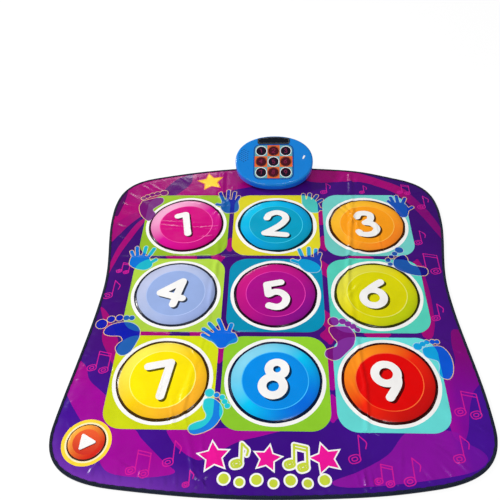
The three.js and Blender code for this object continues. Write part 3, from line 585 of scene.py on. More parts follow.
# Folds left from packing: the axis they cross, strength, and in millimetres where along the
# other axis (from the near or left end) they lie at which place
FOLDS = [
    ("x", 1.25, [(-480, 168), (-420, 171), (-350, 182), (-250, 189), (-165, 184), (-100, 176),
                 (0, 175), (100, 179), (190, 192), (285, 205), (380, 208), (475, 214)]),
    ("x", 0.9, [(-480, -148), (-400, -163), (-310, -192), (-200, -172), (-100, -156),
                (100, -150), (480, -152)]),
    ("y", 0.8, [(-440, 117), (-200, 120), (0, 121), (200, 119), (440, 123)]),
    ("y", 0.5, [(-440, -122), (0, -120), (440, -121)]),
]
# Lesser creases: x and y of both ends in millimetres, and strength
CREASES = [
    (262, 262, 268, 128, 0.5), (-152, -418, -128, -482, 1.0), (-196, -318, -168, -400, 0.8),
    (-402, -420, -376, -462, 0.7), (-352, -440, -344, -478, 0.8), (-300, -446, -288, -484, 0.8),
    (-446, -300, -410, -318, 0.6), (-440, -176, -404, -182, 0.8), (-430, -206, -398, -196, 0.7),
    (-436, -246, -402, -238, 0.6), (-330, -452, -318, -476, 1.0), (-262, -462, -258, -486, 0.9),
    (-236, -458, -232, -486, 1.0), (-210, -452, -206, -484, 0.7), (-188, -446, -184, -482, 1.0),
    (-306, -424, -270, -446, 0.8), (-160, -440, -130, -472, 1.0), (-152, -474, -126, -444, 0.9),
    (-166, -456, -138, -450, 0.8), (-146, -368, -134, -436, 1.0), (-126, -376, -98, -450, 0.6),
    (-420, -340, -404, -380, 0.6), (-300, 236, -160, 218, 0.6), (-264, 221, -156, 232, 0.5),
    (-202, 190, -158, 197, 0.6), (-310, 252, -214, 244, 0.4), (-70, 60, 70, 24, 0.3),
    (-40, -20, 84, -64, 0.3), (192, 432, 236, 402, 0.8), (150, 452, 182, 404, 0.8),
    (206, 450, 222, 380, 0.6), (262, 440, 316, 408, 0.7), (166, -430, 172, -484, 1.0),
    (180, -410, 184, -480, 1.0), (150, -408, 160, -486, 0.7), (356, 296, 432, 282, 0.5),
    (350, 214, 428, 206, 0.6), (360, 130, 420, 138, 0.5), (-60, 478, -40, 440, 0.5),
    (120, 470, 132, 430, 0.7), (300, -372, 388, -452, 0.5), (250, -362, 232, -470, 0.45),
    (286, -364, 340, -380, 0.4),
]
SEED = 7
FOLD_PUCKERS = (44, 26, 22, 12)
EDGE_PUCKERS = 46
DEEPEST = 0.5 * MM
POD_CALM = (118, 84)


class Relief:
    """Packing folds, the buckling of a simulated sheet between them, and small puckers."""

    def __init__(self, sizes, edge):
        self.sizes = sizes
        self.edge = edge
        draw = np.random.default_rng(SEED)
        self.wobble = draw.uniform(0, FULL_TURN, (len(FOLDS), 2))
        self.puckers = self.scatter(draw)
        self.corner = np.floor(edge.min(0) / sizes.cloth_grid) * sizes.cloth_grid
        columns, rows = np.ceil((edge.max(0) - self.corner) / sizes.cloth_grid).astype(int) + 1
        across, along = np.meshgrid(np.arange(columns), np.arange(rows))
        grid = np.stack([across.ravel(), along.ravel()], axis=1) * sizes.cloth_grid + self.corner
        rest = self.folds(grid) + draw.normal(0, 0.2 * MM, len(grid))
        buckled = simulated(grid, rest, 1 - self.calm(grid), columns, rows, sizes)
        self.field = (buckled - rest).reshape(rows, columns)

    def scatter(self, draw):
        """Small wrinkles: middle, direction, half length, half width and height share."""
        found = []
        for (axis, _, run), count in zip(FOLDS, FOLD_PUCKERS):
            for _ in range(count):
                along = draw.uniform(-0.46, 0.47)
                place = np.interp(along / MM, *zip(*run)) * MM + draw.normal(0, 14 * MM)
                middle = (place, along) if axis == "x" else (along, place)
                straight = math.pi / 2 if axis == "x" else 0
                found.append((middle, straight + draw.normal(0, 0.45),
                              draw.uniform(12, 36) * MM, draw.uniform(2.6, 5) * MM,
                              draw.uniform(0.3, 1)))
        for _ in range(EDGE_PUCKERS):
            spot = self.edge[draw.integers(len(self.edge))]
            inward = -spot / np.linalg.norm(spot)
            middle = spot + inward * draw.uniform(14, 40) * MM
            angle = math.atan2(inward[1], inward[0]) + draw.normal(0, 0.25)
            found.append((tuple(middle), angle, draw.uniform(10, 26) * MM,
                          draw.uniform(2.4, 4.4) * MM, draw.uniform(0.4, 1)))
        for *ends, strength in CREASES:
            start, stop = np.reshape(ends, (2, 2)) * MM
            along = stop - start
            found.append((tuple((start + stop) / 2), math.atan2(along[1], along[0]),
                          np.linalg.norm(along) / 2, draw.uniform(2.2, 3.2) * MM, strength * 1.3))
        return found

    def folds(self, points):
        """The height of the packing folds alone."""
        total = np.zeros(len(points))
        for (axis, strength, run), (phase, other) in zip(FOLDS, self.wobble):
            across, along = points.T if axis == "x" else points.T[::-1]
            sway = 1.5 * MM * np.sin(along * 29 + phase)
            off = (across - np.interp(along / MM, *zip(*run)) * MM - sway) / self.sizes.fold_width
            rise = 0.7 + 0.3 * np.sin(along * 17 + other)
            total += strength * self.sizes.fold_height * rise * (
                np.exp(-off ** 2) - 0.5 * np.exp(-(off - 2) ** 2) - 0.4 * np.exp(-(off + 2) ** 2))
        return total

    def buckles(self, points):
        """The height of the simulated sheet, smoothed between the points of its grid."""
        at = (points - self.corner) / self.sizes.cloth_grid
        first = np.floor(at).astype(int)
        t = at - first
        shares = [(1 - t) ** 3 / 6, (3 * t ** 3 - 6 * t ** 2 + 4) / 6,
                  (-3 * t ** 3 + 3 * t ** 2 + 3 * t + 1) / 6, t ** 3 / 6]
        rows, columns = self.field.shape
        total = np.zeros(len(points))
        for i in range(4):
            column = np.clip(first[:, 0] + i - 1, 0, columns - 1)
            for j in range(4):
                row = np.clip(first[:, 1] + j - 1, 0, rows - 1)
                total += shares[i][:, 0] * shares[j][:, 1] * self.field[row, column]
        return total

    def height(self, points):
        """The height over the flat sheet; hollows end softly a little below it."""
        sizes = self.sizes
        x, y = points[:, 0], points[:, 1]
        total = self.folds(points) + sizes.buckle_share * self.buckles(points)
        for (mx, my), angle, half_length, half_width, share in self.puckers:
            c, s = math.cos(angle), math.sin(angle)
            along = ((x - mx) * c + (y - my) * s) / half_length
            off = ((y - my) * c - (x - mx) * s) / half_width
            near = np.flatnonzero((np.abs(along) < 2.2) & (np.abs(off) < 4.5))
            total[near] += sizes.pucker_height * share * np.exp(-along[near] ** 2) * (
                np.exp(-off[near] ** 2) - 0.5 * np.exp(-(off[near] - 1.7) ** 2))
        total = (total + sizes.lift) * self.calm(points)
        return np.where(total < 0, total / (1 - total / DEEPEST), total)

    def calm(self, points):
        """Nothing at the binding, where the sheet is sewn flat, or under the pod."""
        from_edge = np.clip((distance_to(points, self.edge) - 6 * MM) / (10 * MM), 0, 1)
        from_edge *= inside(points, self.edge)
        pod_x, pod_y, _ = POD.place(np.zeros(3))
        off = np.hypot((points[:, 0] - pod_x) / POD_CALM[0],
                       (points[:, 1] - pod_y) / POD_CALM[1]) / MM
        from_pod = np.clip((off - 0.98) / 0.25, 0, 1)
        return from_edge * (0.12 + 0.88 * from_pod)


CLOTH = {
    "quality": 5, "mass": 0.3, "tension_stiffness": 15, "compression_stiffness": 15,
    "shear_stiffness": 5, "bending_stiffness": 0.5, "tension_damping": 5,
    "compression_damping": 5, "air_damping": 5, "vertex_group_mass": "held", "pin_stiffness": 1,
}


def simulated(grid, rest, held, columns, rows, sizes):
    """Cloth that has grown a little too large for its held edge, and has buckled."""
    faces = []
    for row in range(rows - 1):
        for column in range(columns - 1):
            a = row * columns + column
            b, c, d = a + 1, a + columns + 1, a + columns
            faces += [(a, b, c), (a, c, d)] if (row + column) % 2 else [(a, b, d), (b, c, d)]
    trial = add("trial_sheet", level(grid, rest), faces)
    mesh = trial.data
    group = trial.vertex_groups.new(name="held")
    for index, share in enumerate(np.clip(held, sizes.foundation, 1)):
        group.add([index], float(share), "REPLACE")
    cloth = trial.modifiers.new("cloth", "CLOTH")
    for key, value in CLOTH.items():
        setattr(cloth.settings, key, value)
    cloth.settings.shrink_min = cloth.settings.shrink_max = -sizes.growth
    cloth.settings.effector_weights.gravity = 0
    cloth.collision_settings.use_collision = False
    cloth.point_cache.frame_end = sizes.cloth_frames
    scene = bpy.context.scene
    for frame_number in range(1, sizes.cloth_frames + 1):
        scene.frame_set(frame_number)
    shaped = trial.evaluated_get(bpy.context.evaluated_depsgraph_get()).to_mesh()
    points = np.empty(len(grid) * 3, np.float32)
    shaped.vertices.foreach_get("co", points)
    bpy.data.objects.remove(trial)
    bpy.data.meshes.remove(mesh)
    scene.frame_set(1)
    return points.reshape(-1, 3)[:, 2].astype(float)


RELIEFS = []


def sheet_relief(sizes):
    """The relief of the top skin, worked out once for the sheet and its pads."""
    if not RELIEFS:
        RELIEFS.append(Relief(sizes, sheet_edge()))
    return RELIEFS[0]


# Meshes

def partition(outer, holes, prints, spacing):
    """Triangles inside the outer loop and outside the holes that follow every printed edge."""
    shown = [part for item in prints for part in (item, item["rim"]) if part]
    loops = [outer, *holes, *[loop for part in shown for loop in part["outlines"]]]
    edges = []
    first = 0
    for loop in loops:
        count = len(loop)
        edges += [(first + i, first + (i + 1) % count) for i in range(count)]
        first += count
    low, high = outer.min(0), outer.max(0)
    rows = np.arange(low[1], high[1], spacing * math.sqrt(3) / 2)
    grid_x, grid_y = np.meshgrid(np.arange(low[0], high[0], spacing), rows)
    grid_x = grid_x + (np.arange(len(rows)) % 2)[:, None] * spacing / 2
    grid = np.stack([grid_x.ravel(), grid_y.ravel()], axis=1)

    def wanted(points):
        return inside(points, outer) & ~inside_any(points, holes)

    grid = grid[wanted(grid)]
    grid = grid[clear_of(grid, loops, spacing * 0.45)]
    found = delaunay_2d_cdt([Vector(point) for point in np.concatenate([*loops, grid])], edges,
                            [], 0, 1e-8, False)
    places = np.array([tuple(point) for point in found[0]])
    triangles = np.array(found[2])
    triangles = triangles[wanted(places[triangles].mean(1))]
    used, triangles = np.unique(triangles, return_inverse=True)
    return places[used], triangles.reshape(-1, 3)


def clear_of(points, loops, distance):
    """Which points keep a distance from all the loops, judged on a coarse raster."""
    cells = set()
    for loop in loops:
        for a, b in zip(loop, np.roll(loop, -1, axis=0)):
            shares = np.linspace(0, 1, int(np.linalg.norm(b - a) / distance) + 2)
            along = np.floor((a + (b - a) * shares[:, None]) / distance).astype(int)
            cells.update(map(tuple, along.tolist()))
    keys = np.floor(points / distance).astype(int).tolist()
    return np.array([tuple(key) not in cells for key in keys], bool)


def inked(places, triangles, ground, prints):
    """The colour at every corner of every triangle."""
    centres = places[triangles].mean(1)

    def mix(chosen, item, colours):
        """The colours of the chosen triangles once an ink is printed over them."""
        spots = places[triangles[chosen]].reshape(-1, 2)
        middles = np.repeat(centres[chosen], 3, axis=0)
        ink = np.array(item["ink"](spots, middles)).reshape(-1, 3, 3)
        return colours + (ink - colours) * item["cover"]

    everywhere = np.ones(len(triangles), bool)
    colours = mix(everywhere, {"ink": ground, "cover": 1.0}, np.zeros((len(triangles), 3, 3)))
    for item in prints:
        chosen = inside_any(centres, item["outlines"])
        inner = mix(chosen, item, colours[chosen])
        if item["rim"]:
            around = inside_any(centres, item["rim"]["outlines"]) & ~chosen
            colours[around] = mix(around, item["rim"], colours[around])
        colours[chosen] = inner
    return colours


def rim_of(triangles):
    """The edges that only one triangle has, in the direction that triangle gives them."""
    edges = np.concatenate([triangles[:, [0, 1]], triangles[:, [1, 2]], triangles[:, [2, 0]]])
    keys = np.sort(edges, axis=1)
    _, first, count = np.unique(keys, axis=0, return_index=True, return_counts=True)
    return edges[first[count == 1]]


ROUNDING_STEPS = 3


def slab(name, outer, holes=(), prints=(), ground=plain((0.5, 0.5, 0.5)), spacing=4 * MM,
         top=0.0, bottom=0.0, rounding=0.0, place=None, side=None):
    """A closed plate whose top may rise and fall and carries the print. Sizes are in metres."""
    openings = [grown(hole, rounding) for hole in holes]
    places, triangles = partition(grown(outer, -rounding), openings, prints, spacing)
    colours = inked(places, triangles, ground, prints)
    heights = top(places) if callable(top) else np.full(len(places), float(top))
    rim = rim_of(triangles)
    edge, ends = np.unique(rim, return_inverse=True)
    ends = ends.reshape(-1, 2)
    outward = edge_normals(places[edge], ends)
    rows = []
    for step in range(1, ROUNDING_STEPS + 1 if rounding else 1):
        angle = step / ROUNDING_STEPS * math.pi / 2
        rows.append(level(places[edge] + outward * rounding * math.sin(angle),
                          heights[edge] - rounding * (1 - math.cos(angle))))
    foot = places[edge] + outward * rounding
    rows.append(level(foot, bottom))
    faces = triangles.tolist()
    above = edge
    for order in range(len(rows)):
        below = len(places) + order * len(edge) + np.arange(len(edge))
        faces += [(above[b], above[a], below[a], below[b]) for a, b in ends]
        above = below
    faces += [tuple(above[[c, b, a]]) for a, b, c in underside(foot, ends)]
    points = np.concatenate([level(places, heights), *rows])
    piece = add(name, place(points) if place else points, faces, sharp=38)
    paint(piece.data, colours, side)
    return piece


def edge_normals(places, ends):
    """Which way is out, in the plane, at each point of a rim."""
    total = np.zeros(places.shape)
    for a, b in ends:
        along = places[b] - places[a]
        out = np.array([along[1], -along[0]]) / max(np.linalg.norm(along), 1e-12)
        total[a] += out
        total[b] += out
    return total / np.maximum(np.linalg.norm(total, axis=1, keepdims=True), 1e-12)


def underside(foot, ends):
    """Triangles that close a plate below, between the points of its rim only."""
    found = delaunay_2d_cdt([Vector(point) for point in foot], [tuple(map(int, e)) for e in ends],
                            [], 0, 1e-9, True)
    origin = [ids[0] if ids else -1 for ids in found[3]]
    triangles = np.array([[origin[i] for i in face] for face in found[2]])
    triangles = triangles[(triangles >= 0).all(1)]
    turns = turns_round(foot[triangles].mean(1), foot[ends[:, 0]], foot[ends[:, 1]])
    return triangles[turns != 0]


def paint(mesh, colours, side):
    """Stores the print as a colour for every corner; rim and underside get one colour."""
    colours = colours.reshape(-1, 3)
    flat = np.ones((len(mesh.loops), 4), np.float32)
    flat[:, :3] = colours.mean(0) if side is None else side[:]
    flat[:len(colours), :3] = colours
    layer = mesh.color_attributes.new("ink", "FLOAT_COLOR", "CORNER")
    layer.data.foreach_set("color", flat.ravel())


def add(name, points, faces, sharp=None, merge=None):
    """A smooth object in the scene, with crisp edges from an angle in degrees. Where merge is
    given its faces are turned outwards, and points closer together than that are joined."""
    mesh = bpy.data.meshes.new(name)
    mesh.from_pydata(np.asarray(points).tolist(), [], faces)
    if merge is not None:
        work = bmesh.new()
        work.from_mesh(mesh)
        if merge:
            bmesh.ops.remove_doubles(work, verts=work.verts, dist=merge)
        bmesh.ops.recalc_face_normals(work, faces=work.faces)
        work.to_mesh(mesh)
        work.free()
    mesh.polygons.foreach_set("use_smooth", np.ones(len(mesh.polygons), bool))
    if sharp:
        mesh.set_sharp_from_angle(angle=math.radians(sharp))
    mesh.validate()
    piece = bpy.data.objects.new(name, mesh)
    bpy.context.scene.collection.objects.link(piece)
    return piece


def finish_piece(piece, nodes, material):
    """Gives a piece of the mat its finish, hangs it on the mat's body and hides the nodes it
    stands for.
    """
    piece.data.materials.append(MATERIALS[material])
    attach(piece, "mat")
    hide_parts(*nodes)


def level(loop, height):
    """Points of a plane at one height, or each at its own."""
    return np.column_stack([loop, np.broadcast_to(np.asarray(height, float), len(loop))])


def ring_faces(first, after, count):
    """Faces between two rings of points, from the numbers of their first points."""
    turned = [(i + 1) % count for i in range(count)]
    return [(first + i, first + turned[i], after + turned[i], after + i) for i in range(count)]


# Materials

MATERIALS = {}


class Finish:
    """A material made of procedural nodes round one shader, kept in MATERIALS by its name."""

    def __init__(self, name, roughness, **sockets):
        MATERIALS[name] = bpy.data.materials.new(name)
        MATERIALS[name].use_nodes = True
        self.tree = MATERIALS[name].node_tree
        self.shader = self.tree.nodes["Principled BSDF"]
        self.shader.inputs["Roughness"].default_value = roughness
        for socket, value in sockets.items():
            self.shader.inputs[socket.replace("_", " ")].default_value = value
        self.where = self.add("ShaderNodeTexCoord").outputs["Object"]

    def add(self, kind, settings=None, **inputs):
        """A node; each input is a value or another node's output."""
        node = self.tree.nodes.new(kind)
        for key, value in (settings or {}).items():
            setattr(node, key, value)
        for key, value in inputs.items():
            self.feed(node.inputs[key.replace("_", " ")], value)
        return node

    def feed(self, socket, value):
        if isinstance(value, bpy.types.NodeSocket):
            self.tree.links.new(value, socket)
        else:
            socket.default_value = value

    def noise(self, scale, detail=3.0, roughness=0.5):
        return self.add("ShaderNodeTexNoise", Vector=self.where, Scale=scale, Detail=detail,
                        Roughness=roughness).outputs["Fac"]

    def ramp(self, value, low, high, from_low=0.3, from_high=0.7):
        return self.add("ShaderNodeMapRange", Value=value, From_Min=from_low, From_Max=from_high,
                        To_Min=low, To_Max=high).outputs["Result"]

    def blend(self, factor, first, second, kind="MIX"):
        node = self.add("ShaderNodeMix", {"data_type": "RGBA", "blend_type": kind})
        for socket, value in ((node.inputs[0], factor), (node.inputs[6], first),
                              (node.inputs[7], second)):
            self.feed(socket, value)
        return node.outputs[2]

    def math(self, kind, first, second=0.0):
        node = self.add("ShaderNodeMath", {"operation": kind})
        self.feed(node.inputs[0], first)
        self.feed(node.inputs[1], second)
        return node.outputs[0]

    def base(self, value):
        self.feed(self.shader.inputs["Base Color"], value)

    def rough(self, value):
        self.feed(self.shader.inputs["Roughness"], value)

    def cells(self, scale):
        """Distance from the middles of small irregular cells."""
        return self.add("ShaderNodeTexVoronoi", Vector=self.where, Scale=scale).outputs["Distance"]

    def waves(self, scale, distortion=0.0, detail=2.0, **settings):
        return self.add("ShaderNodeTexWave", settings, Vector=self.where, Scale=scale,
                        Distortion=distortion, Detail=detail).outputs["Fac"]

    def tinted(self, factor, tone, low, high):
        """The base colour, between a darker and a brighter share of a tone."""
        self.base(self.blend(factor, rgba(tone, low), rgba(tone, high)))

    def inked(self, share):
        """The base colour, from the print, made darker or brighter by a share."""
        ink = self.add("ShaderNodeAttribute", {"attribute_name": "ink"}).outputs["Color"]
        grey = self.add("ShaderNodeCombineColor", Red=share, Green=share, Blue=share)
        self.base(self.blend(1.0, ink, grey.outputs["Color"], "MULTIPLY"))

    def bump(self, height, strength, distance, after=None):
        node = self.add("ShaderNodeBump", Height=height, Strength=strength, Distance=distance)
        if after is not None:
            self.feed(node.inputs["Normal"], after)
        self.feed(self.shader.inputs["Normal"], node.outputs["Normal"])
        return node.outputs["Normal"]


def rgba(tone, share=1.0):
    return (*[min(1.0, value * share) for value in tone[:]], 1.0)


def printed_finish(name, roughness, grain, grain_strength, patch=18.0, **sockets):
    """Print on a smooth sheet: the ink, faint mottling, uneven gloss and a fine grain."""
    finish = Finish(name, roughness, **sockets)
    finish.inked(finish.ramp(finish.noise(patch, 4.0, 0.6), 0.94, 1.04))
    finish.rough(finish.ramp(finish.noise(patch * 2.6, 5.0, 0.65), roughness * 0.8,
                             roughness * 1.3))
    soft = finish.bump(finish.cells(grain), grain_strength, 0.25 * MM)
    finish.bump(finish.noise(34.0, 3.0, 0.55), 0.16, 1 * MM, soft)


def moulded_finish(name, tone, roughness, skirt=None, soften=None, **sockets):
    """Moulded plastic: a fine spark texture, faint flow marks and scuffs along the edges. A skirt
    colour, painted light that tints the pod's side a deeper, brighter blue to match how it is lit,
    takes over below the pod's face. Corners are softened over a length."""
    finish = Finish(name, roughness, **sockets)
    colour_now = finish.blend(finish.ramp(finish.noise(9.0, 3.0, 0.5), 0.0, 1.0),
                              rgba(tone, 0.94), rgba(tone, 1.05))
    # Painted light: below the face the shell takes the skirt's deeper, brighter blue, to match how
    # the pod's side is lit
    if skirt is not None:
        up = finish.add("ShaderNodeVectorMath", {"operation": "DOT_PRODUCT"})
        finish.feed(up.inputs[0], finish.where)
        finish.feed(up.inputs[1], tuple(POD.axes[2]))
        depth = finish.ramp(up.outputs["Value"], 1.0, 0.0, POD.origin[2] - 9 * MM,
                            POD.origin[2] - 2 * MM)
        colour_now = finish.blend(depth, colour_now, rgba(skirt))
    edge = finish.add("ShaderNodeNewGeometry").outputs["Pointiness"]
    worn = finish.ramp(edge, 0.0, 0.05, 0.53, 0.6)
    finish.base(finish.blend(worn, colour_now, rgba(lighter(tone, 0.35))))
    finish.rough(finish.ramp(finish.noise(60.0, 5.0, 0.7), roughness * 0.85, roughness * 1.25))
    corner = None
    if soften is not None:
        corner = finish.add("ShaderNodeBevel", {"samples": 6}, Radius=soften).outputs["Normal"]
    finish.bump(finish.cells(2600.0), 0.10, 0.06 * MM, corner)


def woven_finish(name, tone, pitch, strength, **sockets):
    """Woven cloth or tape: two crossed waves of thread and a little fluff."""
    finish = Finish(name, 0.85, **sockets)
    across, along = [finish.waves(pitch, 0.4, 1.0, bands_direction=way) for way in "XY"]
    finish.tinted(finish.ramp(finish.noise(22.0, 4.0, 0.6), 0.0, 1.0), tone, 0.78, 1.3)
    soft = finish.bump(finish.math("MULTIPLY", across, along), strength, 0.3 * MM)
    finish.bump(finish.noise(700.0, 4.0, 0.7), 0.25, 0.2 * MM, soft)


def foam_finish(name, tone):
    """Open foam: small cells and a dusty colour."""
    finish = Finish(name, 0.95)
    cells = finish.cells(900.0)
    finish.tinted(finish.ramp(cells, 0.0, 1.0, 0.0, 0.6), tone, 0.8, 1.0)
    finish.bump(cells, 0.8, 0.5 * MM)


def film_finish(name, tone, track):
    """Clear plastic film with faint printed tracks."""
    finish = Finish(name, 0.3)
    tracks = finish.ramp(finish.waves(60.0, bands_direction="X"), 0.0, 1.0, 0.9, 0.94)
    finish.base(finish.blend(tracks, rgba(tone), rgba(track)))
    finish.rough(finish.ramp(finish.noise(90.0), 0.25, 0.4))
    finish.bump(tracks, 0.2, 0.05 * MM)


def board_finish(name, tone):
    """Circuit board: lacquer over tracks, and small tinned spots."""
    finish = Finish(name, 0.4)
    bricks = finish.add("ShaderNodeTexBrick", {"offset": 0.5}, Vector=finish.where, Scale=260.0,
                        Color1=rgba(tone, 1.0), Color2=rgba(tone, 0.8), Mortar=rgba(tone, 1.5),
                        Mortar_Size=0.03)
    tinned = finish.ramp(finish.cells(300.0), 1.0, 0.0, 0.10, 0.16)
    finish.base(finish.blend(tinned, bricks.outputs["Color"], rgba((0.6, 0.6, 0.58))))
    finish.feed(finish.shader.inputs["Metallic"], tinned)
    finish.bump(tinned, 0.3, 0.2 * MM)


def metal_finish(name, tone, roughness):
    """Bright metal with fine turning marks and faint stains."""
    finish = Finish(name, roughness, Metallic=1.0)
    stains = finish.ramp(finish.noise(80.0, 4.0), 0.0, 1.0)
    finish.tinted(stains, tone, 0.8, 1.05)
    finish.rough(finish.ramp(stains, roughness * 1.3, roughness * 0.8))
    finish.bump(finish.waves(900.0, 1.5, 2.0, wave_type="RINGS"), 0.08, 0.04 * MM)


def rubber_finish(name, tone):
    """Soft black rubber, dusty and slightly pitted."""
    finish = Finish(name, 0.85)
    finish.tinted(finish.ramp(finish.noise(45.0, 5.0, 0.7), 0.0, 1.0), tone, 0.8, 1.6)
    finish.bump(finish.noise(1500.0, 3.0), 0.3, 0.1 * MM)


def lens_finish(name, roughness, **sockets):
    """Tinted window: the ink shows through a hard, clear, slightly rubbed coat."""
    finish = Finish(name, roughness, **sockets)
    finish.inked(finish.ramp(finish.noise(160.0, 4.0, 0.6), 0.9, 1.15))
    finish.rough(finish.ramp(finish.noise(300.0, 5.0, 0.7), roughness * 0.6, roughness * 1.6))
    finish.bump(finish.noise(200.0, 3.0), 0.05, 0.1 * MM)


def make_materials():
    """Every finish of the object, made once."""
    pod = bpy.context.scene.dance_mat_pod_colours
    printed_finish("printed_vinyl", 0.2, 900.0, 0.03, Specular_IOR_Level=0.18)
    printed_finish("panel_print", 0.28, 2400.0, 0.02, 60.0, Specular_IOR_Level=0.2)
    # The dark sheet round the panel is painted shade for its groove
    printed_finish("recess_shade_print", 0.3, 2400.0, 0.02, 60.0, Specular_IOR_Level=0.3)
    printed_finish("battery_sleeve", 0.35, 1200.0, 0.03, 60.0)
    woven_finish("backing_cloth", screen(34, 30, 52), 900.0, 0.5)
    woven_finish("binding_tape", screen(12, 22, 44), 1100.0, 0.6, Sheen_Weight=0.08,
                 Specular_IOR_Level=0.2)
    woven_finish("binding_thread", screen(40, 48, 84), 1800.0, 0.4)
    foam_finish("spacer_foam", screen(226, 222, 214))
    film_finish("contact_film", screen(206, 202, 186), screen(60, 60, 66))
    moulded_finish("shell_plastic", pod.shell, 0.3, skirt=pod.skirt, Specular_IOR_Level=0.15,
                   Coat_Weight=0.75, Coat_Roughness=0.12)
    moulded_finish("base_plastic", pod.base, 0.36, soften=4.5 * MM, Specular_IOR_Level=0.3)
    moulded_finish("door_plastic", pod.base, 0.36, soften=0.4 * MM, Specular_IOR_Level=0.3)
    moulded_finish("black_plastic", screen(24, 24, 28), 0.45)
    moulded_finish("white_plastic", screen(232, 230, 224), 0.5)
    lens_finish("badge_gloss", 0.2, Specular_IOR_Level=0.25)
    lens_finish("window_lens", 0.16, Specular_IOR_Level=0.3)
    lens_finish("lamp_lens", 0.2, Coat_Weight=0.5)
    board_finish("circuit_board", screen(22, 96, 52))
    metal_finish("screw_steel", screen(196, 198, 204), 0.32)
    metal_finish("contact_plate", screen(206, 200, 180), 0.25)
    rubber_finish("contact_ink", screen(44, 44, 48))
    rubber_finish("foot_rubber", screen(22, 22, 24))


# The print of the top skin and the pads

def pad_places():
    """Number and middle of each of the nine pads."""
    return [(number, ((number - 1) % 3 - 1) * PAD_PITCH, (1 - (number - 1) // 3) * PAD_PITCH)
            for number in NUMBERS]


def pad_holes(gap, count, start_count):
    """Round holes for the ten pads, larger than the pads by a gap."""
    return [*[circle(x, y, PAD_RADIUS + gap, count) for _, x, y in pad_places()],
            circle(*START_PLACE, START_RADIUS + gap, start_count)]


SQUARE_INKS = {
    1: (150, 190, 40), 2: (222, 212, 38), 3: (112, 206, 198), 4: (174, 210, 66),
    5: (0, 142, 180), 6: (84, 208, 186), 7: (206, 216, 18), 8: (142, 202, 44),
    9: (102, 218, 214),
}
# A pad's middle, its bevel away from the light, across it and towards it, and the line inside
# the bevel
PAD_INKS = {
    1: ((210, 0, 126), (200, 0, 126), (222, 12, 154), (246, 176, 212), (255, 96, 184)),
    2: ((0, 160, 197), (0, 150, 186), (0, 162, 224), (0, 198, 240), (60, 206, 236)),
    3: ((255, 158, 22), (250, 134, 30), (255, 170, 34), (255, 194, 48), (255, 190, 80)),
    4: ((150, 173, 224), (152, 171, 222), (174, 189, 228), (193, 200, 232), (178, 198, 242)),
    5: ((168, 6, 135), (134, 8, 134), (182, 12, 133), (206, 20, 132), (236, 60, 176)),
    6: ((218, 212, 0), (188, 202, 6), (228, 216, 6), (226, 220, 66), (234, 232, 110)),
    7: ((255, 228, 0), (250, 178, 40), (252, 208, 8), (255, 240, 84), (255, 248, 130)),
    8: ((0, 139, 230), (0, 106, 220), (0, 196, 243), (136, 216, 242), (60, 190, 255)),
    9: ((226, 0, 0), (200, 8, 8), (240, 36, 8), (255, 146, 28), (255, 110, 50)),
}


def ground_ink(tone, warmth=0.46, right_red_drop=0.0):
    """Ink of the ground: less blue on the far part of the mat, and less red on its right."""
    def ink(points, middles):
        far = np.clip((points[:, 1] + 270 * MM) / (110 * MM), 0, 1)
        right = np.clip((points[:, 0] - 345 * MM) / (30 * MM), 0, 1)
        shares = np.column_stack([1 - right_red_drop * right, np.ones(len(points)), 1 - warmth * far])
        return np.array(tone)[..., :3] * shares

    return ink


def ground_print(colours, edge):
    """Ink of the bare ground: slow streaks, and a painted sheen that lightens it towards the near
    left edge.
    """
    def ink(points, middles):
        x, y = points.T
        share = 0.5 + 0.5 * np.sin(x * 7 + y * 4)
        tone = mixed(colours.dark_field, colours.field, 0.4 + 0.6 * share)
        left = np.clip((-x - 90 * MM) / (170 * MM), 0, 1)
        near = np.clip((-y - 330 * MM) / (130 * MM), 0, 1)
        # Painted sheen: the ground turns paler towards the near left corner, within 60 mm of the
        # edge
        sheen_share = 0.6 * left * near
        some = sheen_share > 0
        sheen_share[some] *= np.clip(1 - distance_to(points[some], edge) / (60 * MM), 0, 1)
        return ground_ink(mixed(tone, colours.painted_sheen, sheen_share), 0.3)(points, middles)

    return ink


def ribbon_prints(colours):
    """The patches of the ground and the ribbons across it."""
    found = [(flow(np.reshape(points, (-1, 2)) * MM, 6, closed=True), ink, 0.8)
             for ink, points in PATCHES]
    for ink, points in RIBBONS:
        smooth = flow(np.reshape(points, (-1, 3)) * MM, 7)
        found.append((band(smooth[:, :2], smooth[:, 2], 5), ink, 0.86))
    return [printed(outline, ground_ink(getattr(colours, ink)[:], right_red_drop=0.4), cover)
            for outline, ink, cover in found]


def note_prints(colours, sizes):
    found = []
    for x, y, height, stems in NOTES:
        for line in note_lines(height * MM, stems):
            outline = band(line + np.array([x - height * 0.3, y]) * MM, sizes.note_stroke, 5)
            found.append(printed(outline, plain(colours.note), 0.85))
    return found


def square_outline(x, y, sizes):
    """A printed square; those of the far and near rows reach a little further out."""
    further = (6 if y > PAD_PITCH / 2 else -3 if y < -PAD_PITCH / 2 else 0) * MM
    return rounded_rectangle(x, y + further / 2, sizes.square_side,
                             sizes.square_side + abs(further), sizes.square_corner)


def square_prints(colours, sizes):
    """The coloured square under each pad, its white ring and the dark line inside that."""
    found = []
    for number, x, y in pad_places():
        tone = screen(*SQUARE_INKS[number])
        found += [
            printed(square_outline(x, y, sizes),
                    shaded(darker(tone, 0.93), darker(tone, 1.05), (x, y), (1, 1), 460 * MM)),
            printed(circle(x, y, sizes.white_ring, 160), plain(colours.white)),
            printed(uneven_circle(number, x, y, sizes.dark_ring, 5), plain(rim_ink(number))),
        ]
    return found


def rim_ink(number):
    """The nearly black ink of the line round a pad."""
    return darker(screen(*PAD_INKS[number][1]), 0.06)


# How far the printed edges of some pads waver, in millimetres: most where a fold crosses them
WAVERS = {2: 1.0, 3: 1.4, 5: 0.8, 6: 0.8}


